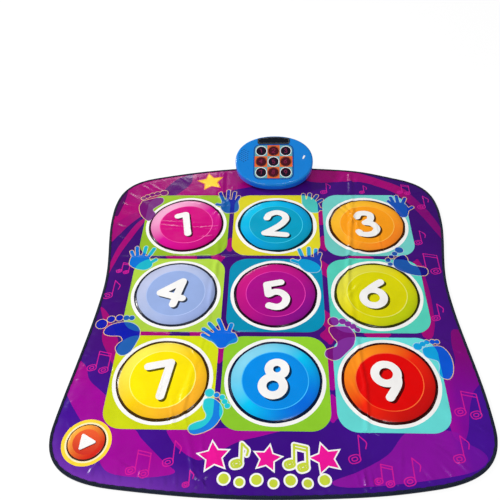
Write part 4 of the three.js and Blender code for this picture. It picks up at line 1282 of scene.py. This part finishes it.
def uneven_circle(number, x, y, radius, seed):
    """A circle on a pad whose radius wavers a little, as where the vinyl puckers."""
    draw = np.random.default_rng(10 * number + seed)
    angles = np.linspace(0, FULL_TURN, 160, endpoint=False)
    waver = sum(draw.uniform(-1, 1) / (1 + 0.12 * n) * np.sin(n * angles + draw.uniform(0, 6.3))
                for n in (2, 3, 5, 7, 11, 15))
    return circle(x, y, radius + WAVERS.get(number, 0.5) * MM * waver, 160)


def limb_prints(colours, sizes):
    """Hands and feet: a pale line round each, then a clear ink that changes over the squares."""
    squares = [square_outline(x, y, sizes) for _, x, y in pad_places()]
    shapes = [(*shape, width) for width, *shape in HAND_PRINTS]
    shapes += [(*shape, None) for shape in FOOT_PRINTS]
    found = []
    for on_ground, on_square, sole, ends, width in shapes:
        on_ground, on_square = screen(*on_ground), screen(*on_square)
        sole = anticlockwise(flow(np.reshape(sole, (-1, 2)), 5, closed=True))

        def outlines(extra):
            """The sole or palm, with its toes or fingers, made larger all round."""
            loops = [grown(sole, extra)]
            for end in ends:
                if width:
                    loops.append(band(np.array(end).reshape(2, 2), width + 2 * extra, 9))
                else:
                    loops.append(circle(end[0], end[1], end[2] + extra, 24))
            return [loop * MM for loop in loops]

        rim = printed(outlines(sizes.print_edge / MM),
                      changing(squares, lighter(on_square, 0.5), colours.cream), 0.8)
        found.append(printed(outlines(0), changing(squares, on_square, on_ground), 0.98, rim))
    return found


def changing(squares, over, beside):
    """Ink of one tone over the squares and another beside them."""
    over, beside = np.array(over[:]), np.array(beside[:])
    return lambda points, middles: np.where(
        inside_any(middles, squares)[:, None], over, beside)


def near_prints(colours):
    """The row of own motifs along the near edge, and one star beside the pod."""
    found = []
    for margin in (MOTIF_MARGIN, 0.0):
        for kind, x, y, size, turn in NEAR_MOTIFS:
            tone = colours.pink if kind == "star" else colours.lime
            if kind == "star":
                loops = [star(x * MM, y * MM, size * MM + 1.9 * margin, turn)]
            elif kind == "drop":
                loops = [circle(x * MM, y * MM, size * MM + margin, 32)]
            else:
                shift = np.array([x - size * 0.3, y - size * 0.5]) * MM
                loops = [band(line + shift, MOTIF_LINE + 2 * margin, 7)
                         for line in note_lines(size * MM, turn)]
            ink = plain(colours.white if margin else tone)
            found += [printed(loop, ink) for loop in loops]
    x, y, reach, turn = -188 * MM, 420 * MM, 34 * MM, 12
    found.append(printed(star(x, y, reach + 2 * MOTIF_MARGIN, turn), plain(screen(240, 150, 40))))
    found.append(printed(star(x, y, reach, turn), plain(colours.gold)))
    return found


def start_prints(colours, sizes):
    """The gold ring round the start pad, with a pale line inside it."""
    return [printed(circle(*START_PLACE, sizes.start_ring), plain(colours.gold)),
            printed(circle(*START_PLACE, START_RADIUS + 4 * MM), plain(screen(250, 236, 190)))]


def pad_prints(number, x, y, colours, sizes):
    """A pad's bevel, the line inside it, the inner disc and the numeral."""
    middle, away, across, towards, line = [screen(*tone) for tone in PAD_INKS[number]]

    def lit(points, degrees):
        """How far each point lies towards a direction, from 1 to -1 on the other side."""
        angle = np.arctan2(points[:, 1] - y, points[:, 0] - x)
        return np.cos(angle - math.radians(degrees))

    def bevel(points, middles):
        share = lit(points, 135)
        radius = np.hypot(points[:, 0] - x, points[:, 1] - y)
        near_edge = np.clip((radius - sizes.bevel_inner)
                            / (sizes.bevel_outer - sizes.bevel_inner), 0, 1)
        tone = mixed(mixed(across, away, np.clip(-share, 0, 1)), towards, np.clip(share, 0, 1))
        return tone * (1 - 0.16 * near_edge[:, None] ** 3)

    def glint(points, middles):
        return mixed(middle, line, 0.35 + 0.65 * np.abs(lit(points, 150)))

    disc = shaded(darker(middle, 0.95), darker(middle, 1.05), (x, y), (-1, 1), 280 * MM)
    shadow = darker(middle, 0.10)
    drop = sizes.numeral_shadow
    outlines, holes = numeral(number, x, y, sizes.numeral_height, sizes.numeral_stroke)
    return [
        printed(uneven_circle(number, x, y, sizes.bevel_outer, 0), bevel),
        printed(circle(x, y, sizes.bevel_inner, 120), glint),
        printed(circle(x, y, sizes.bevel_inner - sizes.highlight, 120), disc),
        *[printed(loop + [drop, -drop], plain(shadow)) for loop in outlines],
        *[printed(loop, plain(colours.white)) for loop in outlines],
        *[printed(hole, hole_ink(hole, drop, shadow, disc)) for hole in holes],
    ]


def hole_ink(hole, drop, shadow, disc):
    """Inside a bowl the shadow of its upper left wall shows, and the pad beyond it."""
    centre = hole.mean(0)
    radius = np.linalg.norm(hole[0] - centre)

    def ink(points, middles):
        off = np.linalg.norm(points - centre - [drop, -drop], axis=1)
        share = np.clip((radius - off) / (0.5 * MM) + 0.5, 0, 1)
        return mixed(shadow, disc(points, middles), share)

    return ink


# Where the sewn edge is out of true: place, reach and shift, in millimetres
SEWN_SHIFTS = [
    ((-440, -420), 130, (-10, -4)), ((-440, 0), 260, (-4, 0)), ((440, -60), 330, (-5, 0)),
    ((440, -420), 150, (-5, 7)), ((330, -480), 150, (0, 7)), ((400, 400), 210, (-7, -8)),
    ((120, -490), 120, (0, 3)), ((250, 470), 90, (0, 8)),
]


def sheet_edge():
    """The smooth edge of the top skin: the fixed model's, a little out of true as sewn."""
    edge = flow(plan_loop("bottom_skin"), 7, closed=True)
    shift = np.zeros_like(edge)
    for place, reach, move in SEWN_SHIFTS:
        off = np.linalg.norm(edge / MM - place, axis=1) / reach
        shift += np.exp(-off ** 2)[:, None] * np.array(move) * MM
    return edge + shift


# Operators

class DANCEMAT_OT_top_skin(bpy.types.Operator):
    """Print and crease the top skin"""
    bl_idname = "dance_mat.top_skin"
    bl_label = "Top skin"

    def execute(self, context):
        sizes = context.scene.dance_mat_sheet
        colours = context.scene.dance_mat_print_colours
        edge = sheet_edge()
        relief = sheet_relief(sizes)
        prints = [*ribbon_prints(colours), *note_prints(colours, sizes),
                  *square_prints(colours, sizes), *limb_prints(colours, sizes),
                  *near_prints(colours), *start_prints(colours, sizes)]
        holes = pad_holes(0.4 * MM, 192, 96)
        skin = slab("top_skin_print", edge, holes, prints, ground_print(colours, edge),
                    sizes.grid, top=lambda points: SKIN_HIGH[2] + relief.height(points),
                    bottom=SKIN_LOW[2], side=colours.underside)
        finish_piece(skin, ["top_skin"], "printed_vinyl")
        return {"FINISHED"}


def arrow_prints(colours):
    """A round button with a plain arrow head."""
    arrow = np.array([(-9, -14), (16, 0), (-9, 14)]) * MM + START_PLACE
    shapes = [arrow, *[band(np.array(side), 6 * MM)
                       for side in zip(arrow, np.roll(arrow, -1, axis=0))]]
    glow = shaded(screen(214, 40, 26), screen(248, 170, 60), START_PLACE, (-1, 1),
                  90 * MM, 1.5)
    middle = shaded(screen(206, 44, 34), screen(236, 96, 48), START_PLACE, (0, 1), 60 * MM)
    return [
        printed(circle(*START_PLACE, START_RADIUS - 2.6 * MM, 96), glow),
        printed(circle(*START_PLACE, START_RADIUS - 12 * MM, 80), middle),
        *[printed(loop + np.array([1.6, -1.6]) * MM, plain(screen(120, 20, 16)))
          for loop in shapes],
        *[printed(loop, plain(colours.white)) for loop in shapes],
    ]


def crown_pad(name, x, y, radius, prints, dark, colours, sizes):
    """A press pad: a disc that rises to its crown just inside its rim."""
    relief = sheet_relief(sizes)

    def top(points):
        off = np.clip(1 - np.hypot(points[:, 0] - x, points[:, 1] - y) / radius, 0, 1)
        crown = PAD_CROWN * (1 - np.exp(-off / CROWN_SHOULDER))
        return SKIN_HIGH[2] + crown + relief.height(points)

    cover = slab(f"{name}_disc", circle(x, y, radius, 192), (), prints, plain(dark),
                 sizes.pad_grid, top=top, bottom=SKIN_LOW[2], side=colours.underside)
    cover.data.materials.append(MATERIALS["printed_vinyl"])
    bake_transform(cover)
    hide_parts(f"{name}_cover")


class DANCEMAT_OT_pads(bpy.types.Operator):
    """Print and crown the nine numbered pads and the start pad"""
    bl_idname = "dance_mat.pads"
    bl_label = "Press pads"

    def execute(self, context):
        sizes = context.scene.dance_mat_sheet
        colours = context.scene.dance_mat_print_colours
        for number, x, y in pad_places():
            crown_pad(f"pad_{number}", x, y, PAD_RADIUS, pad_prints(number, x, y, colours, sizes),
                     rim_ink(number), colours, sizes)
        crown_pad("start_pad", *START_PLACE, START_RADIUS, arrow_prints(colours),
                 screen(70, 34, 24), colours, sizes)
        return {"FINISHED"}


def pod_opening(gap):
    """The opening for the mounting plate and the ribbon under the pod."""
    plate_low, _ = node_span("mounting_plate")
    _, ribbon_high = node_span("ribbon_tail")
    return rounded_rectangle(
        POD.origin[0], (plate_low[1] + ribbon_high[1]) / 2,
        2 * (POD.origin[0] - plate_low[0]) + 2 * gap,
        ribbon_high[1] - plate_low[1] + 2 * gap, 0.5 * MM, 3)


class DANCEMAT_OT_layers(bpy.types.Operator):
    """Cut the backing cloth and the foam"""
    bl_idname = "dance_mat.layers"
    bl_label = "Backing and foam"

    def execute(self, context):
        edge = sheet_edge()
        backing = slab("backing_sheet", edge, spacing=14 * MM, top=BACKING_HIGH[2],
                       bottom=BACKING_LOW[2], rounding=0.2 * MM)
        finish_piece(backing, ["bottom_skin"], "backing_cloth")
        holes = [*pad_holes(0.7 * MM, 96, 64), pod_opening(0.4 * MM)]
        for node, openings, finish, slot_name in (
                ("lower_contact_film", (), "contact_film", "contact_film"),
                ("spacer_foam", holes, "spacer_foam", "foam"),
                ("upper_contact_film", holes, "contact_film", "contact_film")):
            low, high = node_span(node)
            sheet = slab(f"{node}_sheet", grown(edge, high[0] - SKIN_HIGH[0]), openings,
                         spacing=16 * MM, top=high[2], bottom=low[2],
                         rounding=0.3 * MM if node == "spacer_foam" else 0)
            finish_piece(sheet, [node], finish)
        return {"FINISHED"}


def sew_stitches(seam, top, sizes):
    """Short, slightly slanting stitches sunk into the tape near its inner edge."""
    line = resampled(seam, sizes.stitch_pitch)
    left = normals_of(line, closed=True)
    along = np.stack([left[:, 1], -left[:, 0]], axis=1)
    ring = [(0, 1), (0.87, 0.5), (0.87, -0.5), (0, -1), (-0.87, -0.5), (-0.87, 0.5)]
    # Place along the stitch, girth and lift
    stations = [(-0.5, 0.35, -0.3), (-0.36, 0.9, 0.05), (0, 1.0, 0.16), (0.36, 0.9, 0.05),
                (0.5, 0.35, -0.3)]
    radius = 0.3 * MM
    count = len(ring)
    points, faces = [], []
    for spot, ahead, side in zip(line, along + 0.12 * left, left):
        first = len(points)
        for share, girth, lift in stations:
            centre = spot + ahead * sizes.stitch * share
            points += [(*(centre + side * across * radius * girth),
                        top + (lift - 0.25) * MM + up * radius * girth)
                       for across, up in ring]
        last = first + (len(stations) - 1) * count
        for start in range(first, last, count):
            faces += ring_faces(start, start + count, count)
        faces.append(tuple(range(first + count - 1, first - 1, -1)))
        faces.append(tuple(range(last, last + count)))
    thread = add("binding_stitches", points, faces, merge=0)
    thread.data.materials.append(MATERIALS["binding_thread"])
    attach(thread, "mat")


class DANCEMAT_OT_binding(bpy.types.Operator):
    """Fold the binding tape round the edge and stitch it"""
    bl_idname = "dance_mat.binding"
    bl_label = "Edge binding"

    def execute(self, context):
        wall = BINDING_HIGH[0] - SKIN_HIGH[0]
        lap = LAP_SHARE * node_lap()
        low, top = BINDING_LOW[2], BINDING_HIGH[2]
        under = SKIN_HIGH[2] + 0.25 * MM
        spacing = 3 * MM
        loop = resampled(grown(sheet_edge(), wall), spacing)
        count = len(loop)
        run = np.arange(count) * spacing
        ripple = (0.35 * np.sin(run * 330) + 0.25 * np.sin(run * 197 + 1)) * MM
        rise = (0.16 * np.sin(run * 260 + 2) + 0.10 * np.sin(run * 610)) * MM
        inward = normals_of(loop, closed=True)
        # How far in, how high, and which share of the rise: round the tape from below outwards
        profile = [
            (wall - 0.3 * MM, low, 0), (1.2 * MM, low, 0), (0.45 * MM, low + 0.4 * MM, 0),
            (0.05 * MM, low + 1.4 * MM, 0), (0, (low + top) / 2, 0),
            (0.1 * MM, top - 1.6 * MM, 0.2), (0.6 * MM, top - 0.6 * MM, 0.5),
            (1.5 * MM, top - 0.1 * MM, 0.8), (2.6 * MM, top, 1), (lap * 0.55, top, 1),
            (lap * 0.72, top - 0.18 * MM, 1), (lap * 0.86, top - 0.05 * MM, 1),
            (lap - 0.25 * MM, top - 0.15 * MM, 1), (lap, top - 0.4 * MM, 0.8),
            (lap, under + 0.05 * MM, 0), (lap - 0.4 * MM, under, 0), (wall - 0.3 * MM, under, 0),
        ]
        rows = []
        for inset, height, share in profile:
            reach = inset + (ripple if inset > lap * 0.8 else 0)
            flat = loop + inward * np.broadcast_to(reach, count)[:, None]
            rows.append(level(flat, np.minimum(height + rise * share, top + 0.3 * MM)))
        faces = []
        for row in range(len(rows)):
            faces += ring_faces(row * count, (row + 1) % len(rows) * count, count)
        tape = add("binding_tape", np.concatenate(rows), faces, 60, 0)
        finish_piece(tape, ["edge_binding"], "binding_tape")
        sew_stitches(loop + inward * (lap - 2.2 * MM), top, context.scene.dance_mat_sheet)
        return {"FINISHED"}


def node_lap():
    """How far the binding laps over the top skin, from its outer wall."""
    points = node_points("edge_binding")
    upper = points[:, 2] > BINDING_HIGH[2] - 0.05 * MM
    front = (np.abs(points[:, 0]) < 1 * MM) & (points[:, 1] < 0)
    return points[upper & front][:, 1].max() - BINDING_LOW[1]


def resampled(loop, spacing):
    """A closed loop with points at an even spacing."""
    closed = np.concatenate([loop, loop[:1]])
    run = np.concatenate([[0], np.cumsum(np.linalg.norm(np.diff(closed, axis=0), axis=1))])
    count = int(round(run[-1] / spacing))
    at = np.linspace(0, run[-1], count, endpoint=False)
    return np.stack([np.interp(at, run, closed[:, axis]) for axis in (0, 1)], axis=1)


POD_POWER = 2.18
SHELL_ROUNDING = 6 * MM
SHELL_WALL = 2.5 * MM
RECESS_DEPTH = 1 * MM
GRILLE_HOLE = 1.3 * MM
GRILLE_MOUTH = 1.55 * MM


def pod_oval(inset):
    """The pod's outline, moved inwards."""
    return superellipse(POD.half_width - inset, POD.half_depth - inset, POD_POWER, 200)


class DANCEMAT_OT_pod_shell(bpy.types.Operator):
    """Mould the pod's upper shell with its grille"""
    bl_idname = "dance_mat.pod_shell"
    bl_label = "Pod shell"

    def execute(self, context):
        recess = panel_outline(0.6 * MM, 15.3 * MM, 12)
        opening = panel_outline(-8 * MM, 11 * MM, 12)
        lamp = capsule(0.3 * MM)
        grilles = [circle(x, y, GRILLE_HOLE, 12) for x, y in grille_places()]
        mouths = [circle(x, y, GRILLE_MOUTH, 12) for x, y in grille_places()]
        round_off, wall, foot = SHELL_ROUNDING, SHELL_WALL, -POD.skirt
        # How far in and how high: over the rounding, down the side and up inside
        profile = [(round_off * (1 - math.sin(angle)), -round_off * (1 - math.cos(angle)))
                   for angle in np.arange(9) / 8 * math.pi / 2]
        profile += [(0, foot * 0.6), (0, foot + 0.5 * MM), (0.5 * MM, foot),
                    (wall - 0.3 * MM, foot), (wall, foot + 0.3 * MM), (wall, -wall - 2 * MM),
                    (wall + 2 * MM, -wall)]
        parts = Skin()
        parts.plane(pod_oval(round_off), [recess, lamp, *mouths], 6 * MM, 0.0)
        parts.rows([level(pod_oval(inset), height) for inset, height in profile])
        parts.plane(pod_oval(wall + 2 * MM), [opening, lamp, *grilles], 8 * MM, -wall, True)
        parts.plane(recess, [opening], 6 * MM, -RECESS_DEPTH)
        for loop, high, low in ((recess, 0.0, -RECESS_DEPTH), (opening, -RECESS_DEPTH, -wall),
                                (lamp, 0.0, -wall)):
            parts.rows([level(loop, high), level(loop, low)])
        for mouth, loop in zip(mouths, grilles):
            parts.rows([level(mouth, 0.0), level(loop, -0.4 * MM), level(loop, -wall)])
        finish_piece(parts.build("pod_shell"), ["upper_case"], "shell_plastic")
        return {"FINISHED"}


def panel_outline(extra, corner, steps=14):
    """The rounded square of the light panel, made larger by a length."""
    low, high = POD.span("face_panel")
    side = high[0] - low[0] + extra
    return rounded_rectangle(*(low + high)[:2] / 2, side, side, corner, steps)


CAPSULE_RADIUS = 2.3 * MM
CAPSULE_LEAN = math.radians(-26)


def capsule(margin):
    """The slanting outline of the power light."""
    low, high = POD.span("power_light_lens")
    middle = (low + high)[:2] / 2
    reach = (high[1] - low[1]) / 2 / math.cos(CAPSULE_LEAN) - CAPSULE_RADIUS * 1.02
    tip = np.array([math.sin(-CAPSULE_LEAN), math.cos(CAPSULE_LEAN)]) * reach
    return band(np.array([middle - tip, middle + tip]), 2 * (CAPSULE_RADIUS + margin), 17)


def grille_places():
    """Middles of the speaker's small holes, in staggered columns within an oval."""
    low, high = POD.span("speaker")
    centre = (low + high)[:2] / 2 + np.array([-1, 4.2]) * MM
    pitch = np.array([5.65, 6.57]) * MM
    reach = np.array([16.5, 20.5]) * MM
    flat = np.array([POD.half_width, POD.half_depth]) - 8 * MM
    places = []
    for column in range(-3, 4):
        for row in range(-4, 5):
            off = np.array([column, row + column % 2 / 2]) * pitch
            place = centre + off
            clear = ((np.abs(place) / flat) ** POD_POWER).sum() < 1
            if clear and np.hypot(*(off / reach)) <= 1:
                places.append(tuple(place))
    return places


class Skin:
    """Faces of the pod gathered into one closed mesh."""

    def __init__(self):
        self.points = []
        self.faces = []
        self.count = 0

    def take(self, points, faces):
        self.points.append(points)
        self.faces += [tuple(index + self.count for index in face) for face in faces]
        self.count += len(points)

    def plane(self, outer, holes, spacing, height, flip=False):
        places, triangles = partition(outer, holes, [], spacing)
        self.take(level(places, height), triangles[:, ::-1 if flip else 1].tolist())

    def rows(self, rows):
        count = len(rows[0])
        faces = [(row * count + i, (row + 1) * count + i,
                  (row + 1) * count + (i + 1) % count, row * count + (i + 1) % count)
                 for row in range(len(rows) - 1) for i in range(count)]
        self.take(np.concatenate(rows), faces)

    def build(self, name):
        points = POD.place(np.concatenate(self.points))
        return add(name, points, self.faces, 32, 1e-6)


WINDOW_RADIUS = 13.9 * MM


def print_panel(windows, colours):
    """The panel's nine squares, with a ring round each window."""
    low, high = POD.span("face_panel")
    middle = (low + high)[:2] / 2
    pitch = windows[1][2] - windows[0][2]
    corners = np.array([(-1, -1), (1, -1), (1, 1), (-1, 1)]) * pitch / 2
    prints = []
    for _, warm, x, y in windows:
        square = corners + [x, y]
        outward = np.sign(np.round((square - middle) / pitch, 3))
        square += outward * (np.abs(square - middle) > pitch) * 12 * MM
        prints.append(printed(
            square, plain(colours.warm_square if warm else colours.cool_square)))
    for _, warm, x, y in windows:
        ring = colours.warm_ring if warm else colours.ring
        prints.append(printed(circle(x, y, 16.4 * MM, 72), plain(ring)))
        if warm:
            prints.append(printed(circle(x, y, 14.8 * MM, 72), plain(colours.warm_window)))
    holes = [circle(x, y, WINDOW_RADIUS + 0.3 * MM, 56) for _, _, x, y in windows]
    panel = slab("face_panel_print", panel_outline(0, 15 * MM), holes, prints,
                 plain(colours.cool_square), 5 * MM, top=high[2], bottom=low[2],
                 rounding=0.35 * MM, place=POD.place, side=colours.warm_square)
    finish_piece(panel, ["face_panel"], "panel_print")


def shade_panel_recess(colours):
    """A thin dark sheet on the shell round the panel's recess: painted shade for the groove round
    the panel.
    """
    _, high = POD.span("face_panel")
    recess_shade_piece = slab("panel_recess_shade", panel_outline(4.4 * MM, 17.2 * MM),
                       [panel_outline(-1 * MM, 14.5 * MM)], (), plain(colours.trim), 3 * MM,
                       top=max(0.3 * MM, high[2] + 0.2 * MM), bottom=-0.05 * MM,
                       rounding=0.2 * MM, place=POD.place)
    recess_shade_piece.data.materials.append(MATERIALS["recess_shade_print"])
    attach(recess_shade_piece, "mat")


def fit_window(number, warm, x, y, colours):
    """A dark window, domed a little, with a faint numeral behind it."""
    low, high = POD.span(f"light_window_{number}")
    tone = np.array(colours.warm_window if warm else colours.cool_window)
    outlines, holes = numeral(number, x, y, 15 * MM, 2.4 * MM)
    ink = plain(tone + (np.array(colours.window_numeral) - tone) * 0.4)
    prints = [printed(loop, ink) for loop in outlines]
    prints += [printed(loop, plain(tone)) for loop in holes]

    def dome(points):
        share = np.hypot(points[:, 0] - x, points[:, 1] - y) / WINDOW_RADIUS
        return high[2] - 0.5 * MM * np.clip(share, 0, 1) ** 3

    lens = slab(f"window_{number}", circle(x, y, WINDOW_RADIUS, 72), (), prints,
                plain(tone), 1.5 * MM, top=dome, bottom=low[2], rounding=0.3 * MM,
                place=POD.place)
    finish_piece(lens, [f"light_window_{number}"], "window_lens")


def fit_badge(colours):
    """A plate with a straight near edge, whose far edge follows the pod's outline."""
    low, high = POD.span("badge_plate")
    inset, margin = 5 * MM, 3 * MM
    left, right, near = low[0] - margin, high[0] + margin, low[1] - margin / 2
    across = np.linspace(right, left, 40)
    share = np.abs(across) / (POD.half_width - inset)
    rise = (POD.half_depth - inset) * (1 - share ** POD_POWER) ** (1 / POD_POWER)
    corner = np.array([(0, 6), (0.8, 3), (3, 0.8), (6, 0)]) * MM
    points = np.concatenate([corner + [left, near], corner[::-1] * [-1, 1] + [right, near],
                             np.stack([across, rise], axis=1)])
    outline = resampled(points, 1.2 * MM)
    prints = [printed(grown(outline, -2.6 * MM), plain(lighter(colours.badge, 0.22))),
              printed(grown(outline, -3.1 * MM), plain(colours.badge))]
    plate = slab("badge", outline, (), prints, plain(colours.badge), 3 * MM, top=high[2],
                 bottom=low[2], rounding=0.35 * MM, place=POD.place)
    finish_piece(plate, ["badge_plate"], "badge_gloss")


def fit_power_light(colours):
    """The slanting lens of the power light."""
    low, high = POD.span("power_light_lens")
    outline = resampled(capsule(0.0), 0.5 * MM)

    def dome(points):
        share = np.clip(distance_to(points, outline) / CAPSULE_RADIUS, 0, 1)
        return high[2] - 0.5 * MM * (1 - share) ** 2

    lens = slab("power_light", outline, (), (), plain(colours.lamp), 0.6 * MM, top=dome,
                bottom=low[2], rounding=0.2 * MM, place=POD.place)
    finish_piece(lens, ["power_light_lens"], "lamp_lens")


class DANCEMAT_OT_pod_face(bpy.types.Operator):
    """Print the light panel and fit its nine windows, the badge and the power light"""
    bl_idname = "dance_mat.pod_face"
    bl_label = "Pod face"

    def execute(self, context):
        colours = context.scene.dance_mat_pod_colours
        windows = []
        for number in NUMBERS:
            low, high = POD.span(f"light_window_{number}")
            windows.append((number, number % 2 == 0, *((low + high)[:2] / 2)))
        print_panel(windows, colours)
        shade_panel_recess(colours)
        for window in windows:
            fit_window(*window, colours)
        fit_badge(colours)
        fit_power_light(colours)
        return {"FINISHED"}


# The fixed model's own parts that are carried over, by their finish
CARRIED = {
    "contact_film": ["ribbon_tail"],
    "white_plastic": ["mounting_plate"],
    "screw_steel": ["mount_screw_1", "mount_screw_2", "case_screw_1", "case_screw_2",
                    "door_screw"],
    "black_plastic": ["speaker", "power_knob", "switch_body"],
    "circuit_board": ["led_board", "main_board"],
    "base_plastic": ["lower_case"],
    "door_plastic": ["battery_door"],
    "contact_plate": ["battery_contact_left", "battery_contact_right"],
    "foot_rubber": ["rubber_foot_left", "rubber_foot_right"],
    "battery_sleeve": ["battery_1", "battery_2", "battery_3"],
    "contact_ink": ["start_pad_contact", *[f"pad_{number}_contact" for number in NUMBERS]],
}


class DANCEMAT_OT_carried(bpy.types.Operator):
    """Give the fixed model's own parts their finishes"""
    bl_idname = "dance_mat.carried"
    bl_label = "Carried parts"

    def execute(self, context):
        for finish, names in CARRIED.items():
            for name in names:
                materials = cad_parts[name].data.materials
                materials.clear()
                materials.append(MATERIALS[finish])
        return {"FINISHED"}


FLOOR_REACH = 6.0
FLOOR_CELLS = 12
CAMERA_PLACE = (0.00535554, -0.95905205, 1.13870332)
CAMERA_TURN = (44.33059574, 1.76625215, 1.88928919)


def lay_floor():
    """A pale floor that looks nearly white and keeps its shadows."""
    values = np.linspace(-FLOOR_REACH, FLOOR_REACH, FLOOR_CELLS + 1)
    points = [(x, y, -0.2 * MM) for y in values for x in values]
    starts = [row * (FLOOR_CELLS + 1) + column
              for row in range(FLOOR_CELLS) for column in range(FLOOR_CELLS)]
    faces = [(a, a + 1, a + FLOOR_CELLS + 2, a + FLOOR_CELLS + 1) for a in starts]
    floor = add("floor", points, faces)
    finish = Finish("floor", 0.9)
    finish.base(finish.blend(finish.noise(3.0), (0.86, 0.86, 0.87, 1), (0.89, 0.89, 0.89, 1)))
    glow = finish.add("ShaderNodeEmission", Color=(1, 1, 1, 1), Strength=1.08)
    path = finish.add("ShaderNodeLightPath")
    seen = finish.math("MAXIMUM", path.outputs["Is Camera Ray"],
                       path.outputs["Is Glossy Ray"])
    mix = finish.add("ShaderNodeMixShader", Fac=finish.math("MULTIPLY", seen, 0.8))
    finish.tree.links.new(finish.shader.outputs[0], mix.inputs[1])
    finish.tree.links.new(glow.outputs[0], mix.inputs[2])
    output = finish.tree.nodes["Material Output"]
    finish.tree.links.new(mix.outputs[0], output.inputs["Surface"])
    floor.data.materials.append(MATERIALS["floor"])


def set_background(scene):
    """White to the camera, dim as a lamp and dimmer in reflections."""
    world = bpy.data.worlds.new("studio")
    world.use_nodes = True
    tree = world.node_tree
    back = tree.nodes["Background"]
    back.inputs["Color"].default_value = (1, 1, 1, 1)
    path = tree.nodes.new("ShaderNodeLightPath")
    strength = None
    for ray, seen in (("Is Glossy Ray", 0.18), ("Is Transmission Ray", 1.0),
                      ("Is Camera Ray", 1.0)):
        chosen = tree.nodes.new("ShaderNodeMix")
        tree.links.new(path.outputs[ray], chosen.inputs[0])
        chosen.inputs[2].default_value = 0.4
        chosen.inputs[3].default_value = seen
        if strength:
            tree.links.new(strength, chosen.inputs[2])
        strength = chosen.outputs[0]
    tree.links.new(strength, back.inputs["Strength"])
    scene.world = world


def hang_lamp(name, place, target, width, height, power):
    """A lamp of an oblong shape that points at a target."""
    light = bpy.data.lights.new(name, "AREA")
    light.shape = "RECTANGLE"
    light.size = width
    light.size_y = height
    light.energy = power
    holder = bpy.data.objects.new(name, light)
    holder.location = place
    aim = Vector(target) - Vector(place)
    holder.rotation_euler = aim.to_track_quat("-Z", "Y").to_euler()
    bpy.context.scene.collection.objects.link(holder)


class DANCEMAT_OT_stage(bpy.types.Operator):
    """Set the floor, the lamps and the camera"""
    bl_idname = "dance_mat.stage"
    bl_label = "Stage"

    def execute(self, context):
        scene = context.scene
        lay_floor()
        set_background(scene)
        hang_lamp("key", (-2.4, 1.3, 2.0), (0, 0, 0), 0.35, 0.35, 52)
        hang_lamp("front", (-1.5, -2.4, 1.4), (0, 0.1, 0), 2.2, 0.7, 40)
        hang_lamp("top", (0.3, -0.3, 2.3), (0, 0, 0), 0.35, 0.35, 9)
        hang_lamp("back", (-0.93, 4.5, 2.4), (0, 0, 0), 0.8, 0.8, 18)
        camera = bpy.data.cameras.new("camera")
        camera.sensor_width = 36
        camera.lens = 44.547
        holder = bpy.data.objects.new("camera", camera)
        holder.location = CAMERA_PLACE
        holder.rotation_euler = [math.radians(angle) for angle in CAMERA_TURN]
        scene.collection.objects.link(holder)
        scene.camera = holder
        scene.view_settings.view_transform = "Standard"
        return {"FINISHED"}


class DANCEMAT_PT_panel(bpy.types.Panel):
    """Lists the steps that build the mat"""
    bl_idname = "DANCEMAT_PT_panel"
    bl_label = "Dance mat"
    bl_space_type = "VIEW_3D"
    bl_region_type = "UI"
    bl_category = "Dance mat"

    def draw(self, context):
        for operator in OPERATORS:
            self.layout.operator(operator.bl_idname)
        for name, group in GROUPS.items():
            box = self.layout.box()
            for key in group.__annotations__:
                box.prop(getattr(context.scene, name), key)


OPERATORS = [DANCEMAT_OT_layers, DANCEMAT_OT_top_skin, DANCEMAT_OT_pads, DANCEMAT_OT_binding,
             DANCEMAT_OT_pod_shell, DANCEMAT_OT_pod_face, DANCEMAT_OT_carried,
             DANCEMAT_OT_stage]
GROUPS = {
    "dance_mat_sheet": DANCEMAT_PG_sheet,
    "dance_mat_print_colours": DANCEMAT_PG_print_colours,
    "dance_mat_pod_colours": DANCEMAT_PG_pod_colours,
}


CLASSES = [*GROUPS.values(), *OPERATORS, DANCEMAT_PT_panel]


def register():
    for part in CLASSES:
        bpy.utils.register_class(part)
    for name, group in GROUPS.items():
        setattr(bpy.types.Scene, name, bpy.props.PointerProperty(type=group))


def unregister():
    for name in GROUPS:
        delattr(bpy.types.Scene, name)
    for part in reversed(CLASSES):
        bpy.utils.unregister_class(part)


def main():
    register()
    make_materials()
    for operator in OPERATORS:
        family, step = operator.bl_idname.split(".")
        getattr(getattr(bpy.ops, family), step)()


if __name__ == "__main__":
    main()
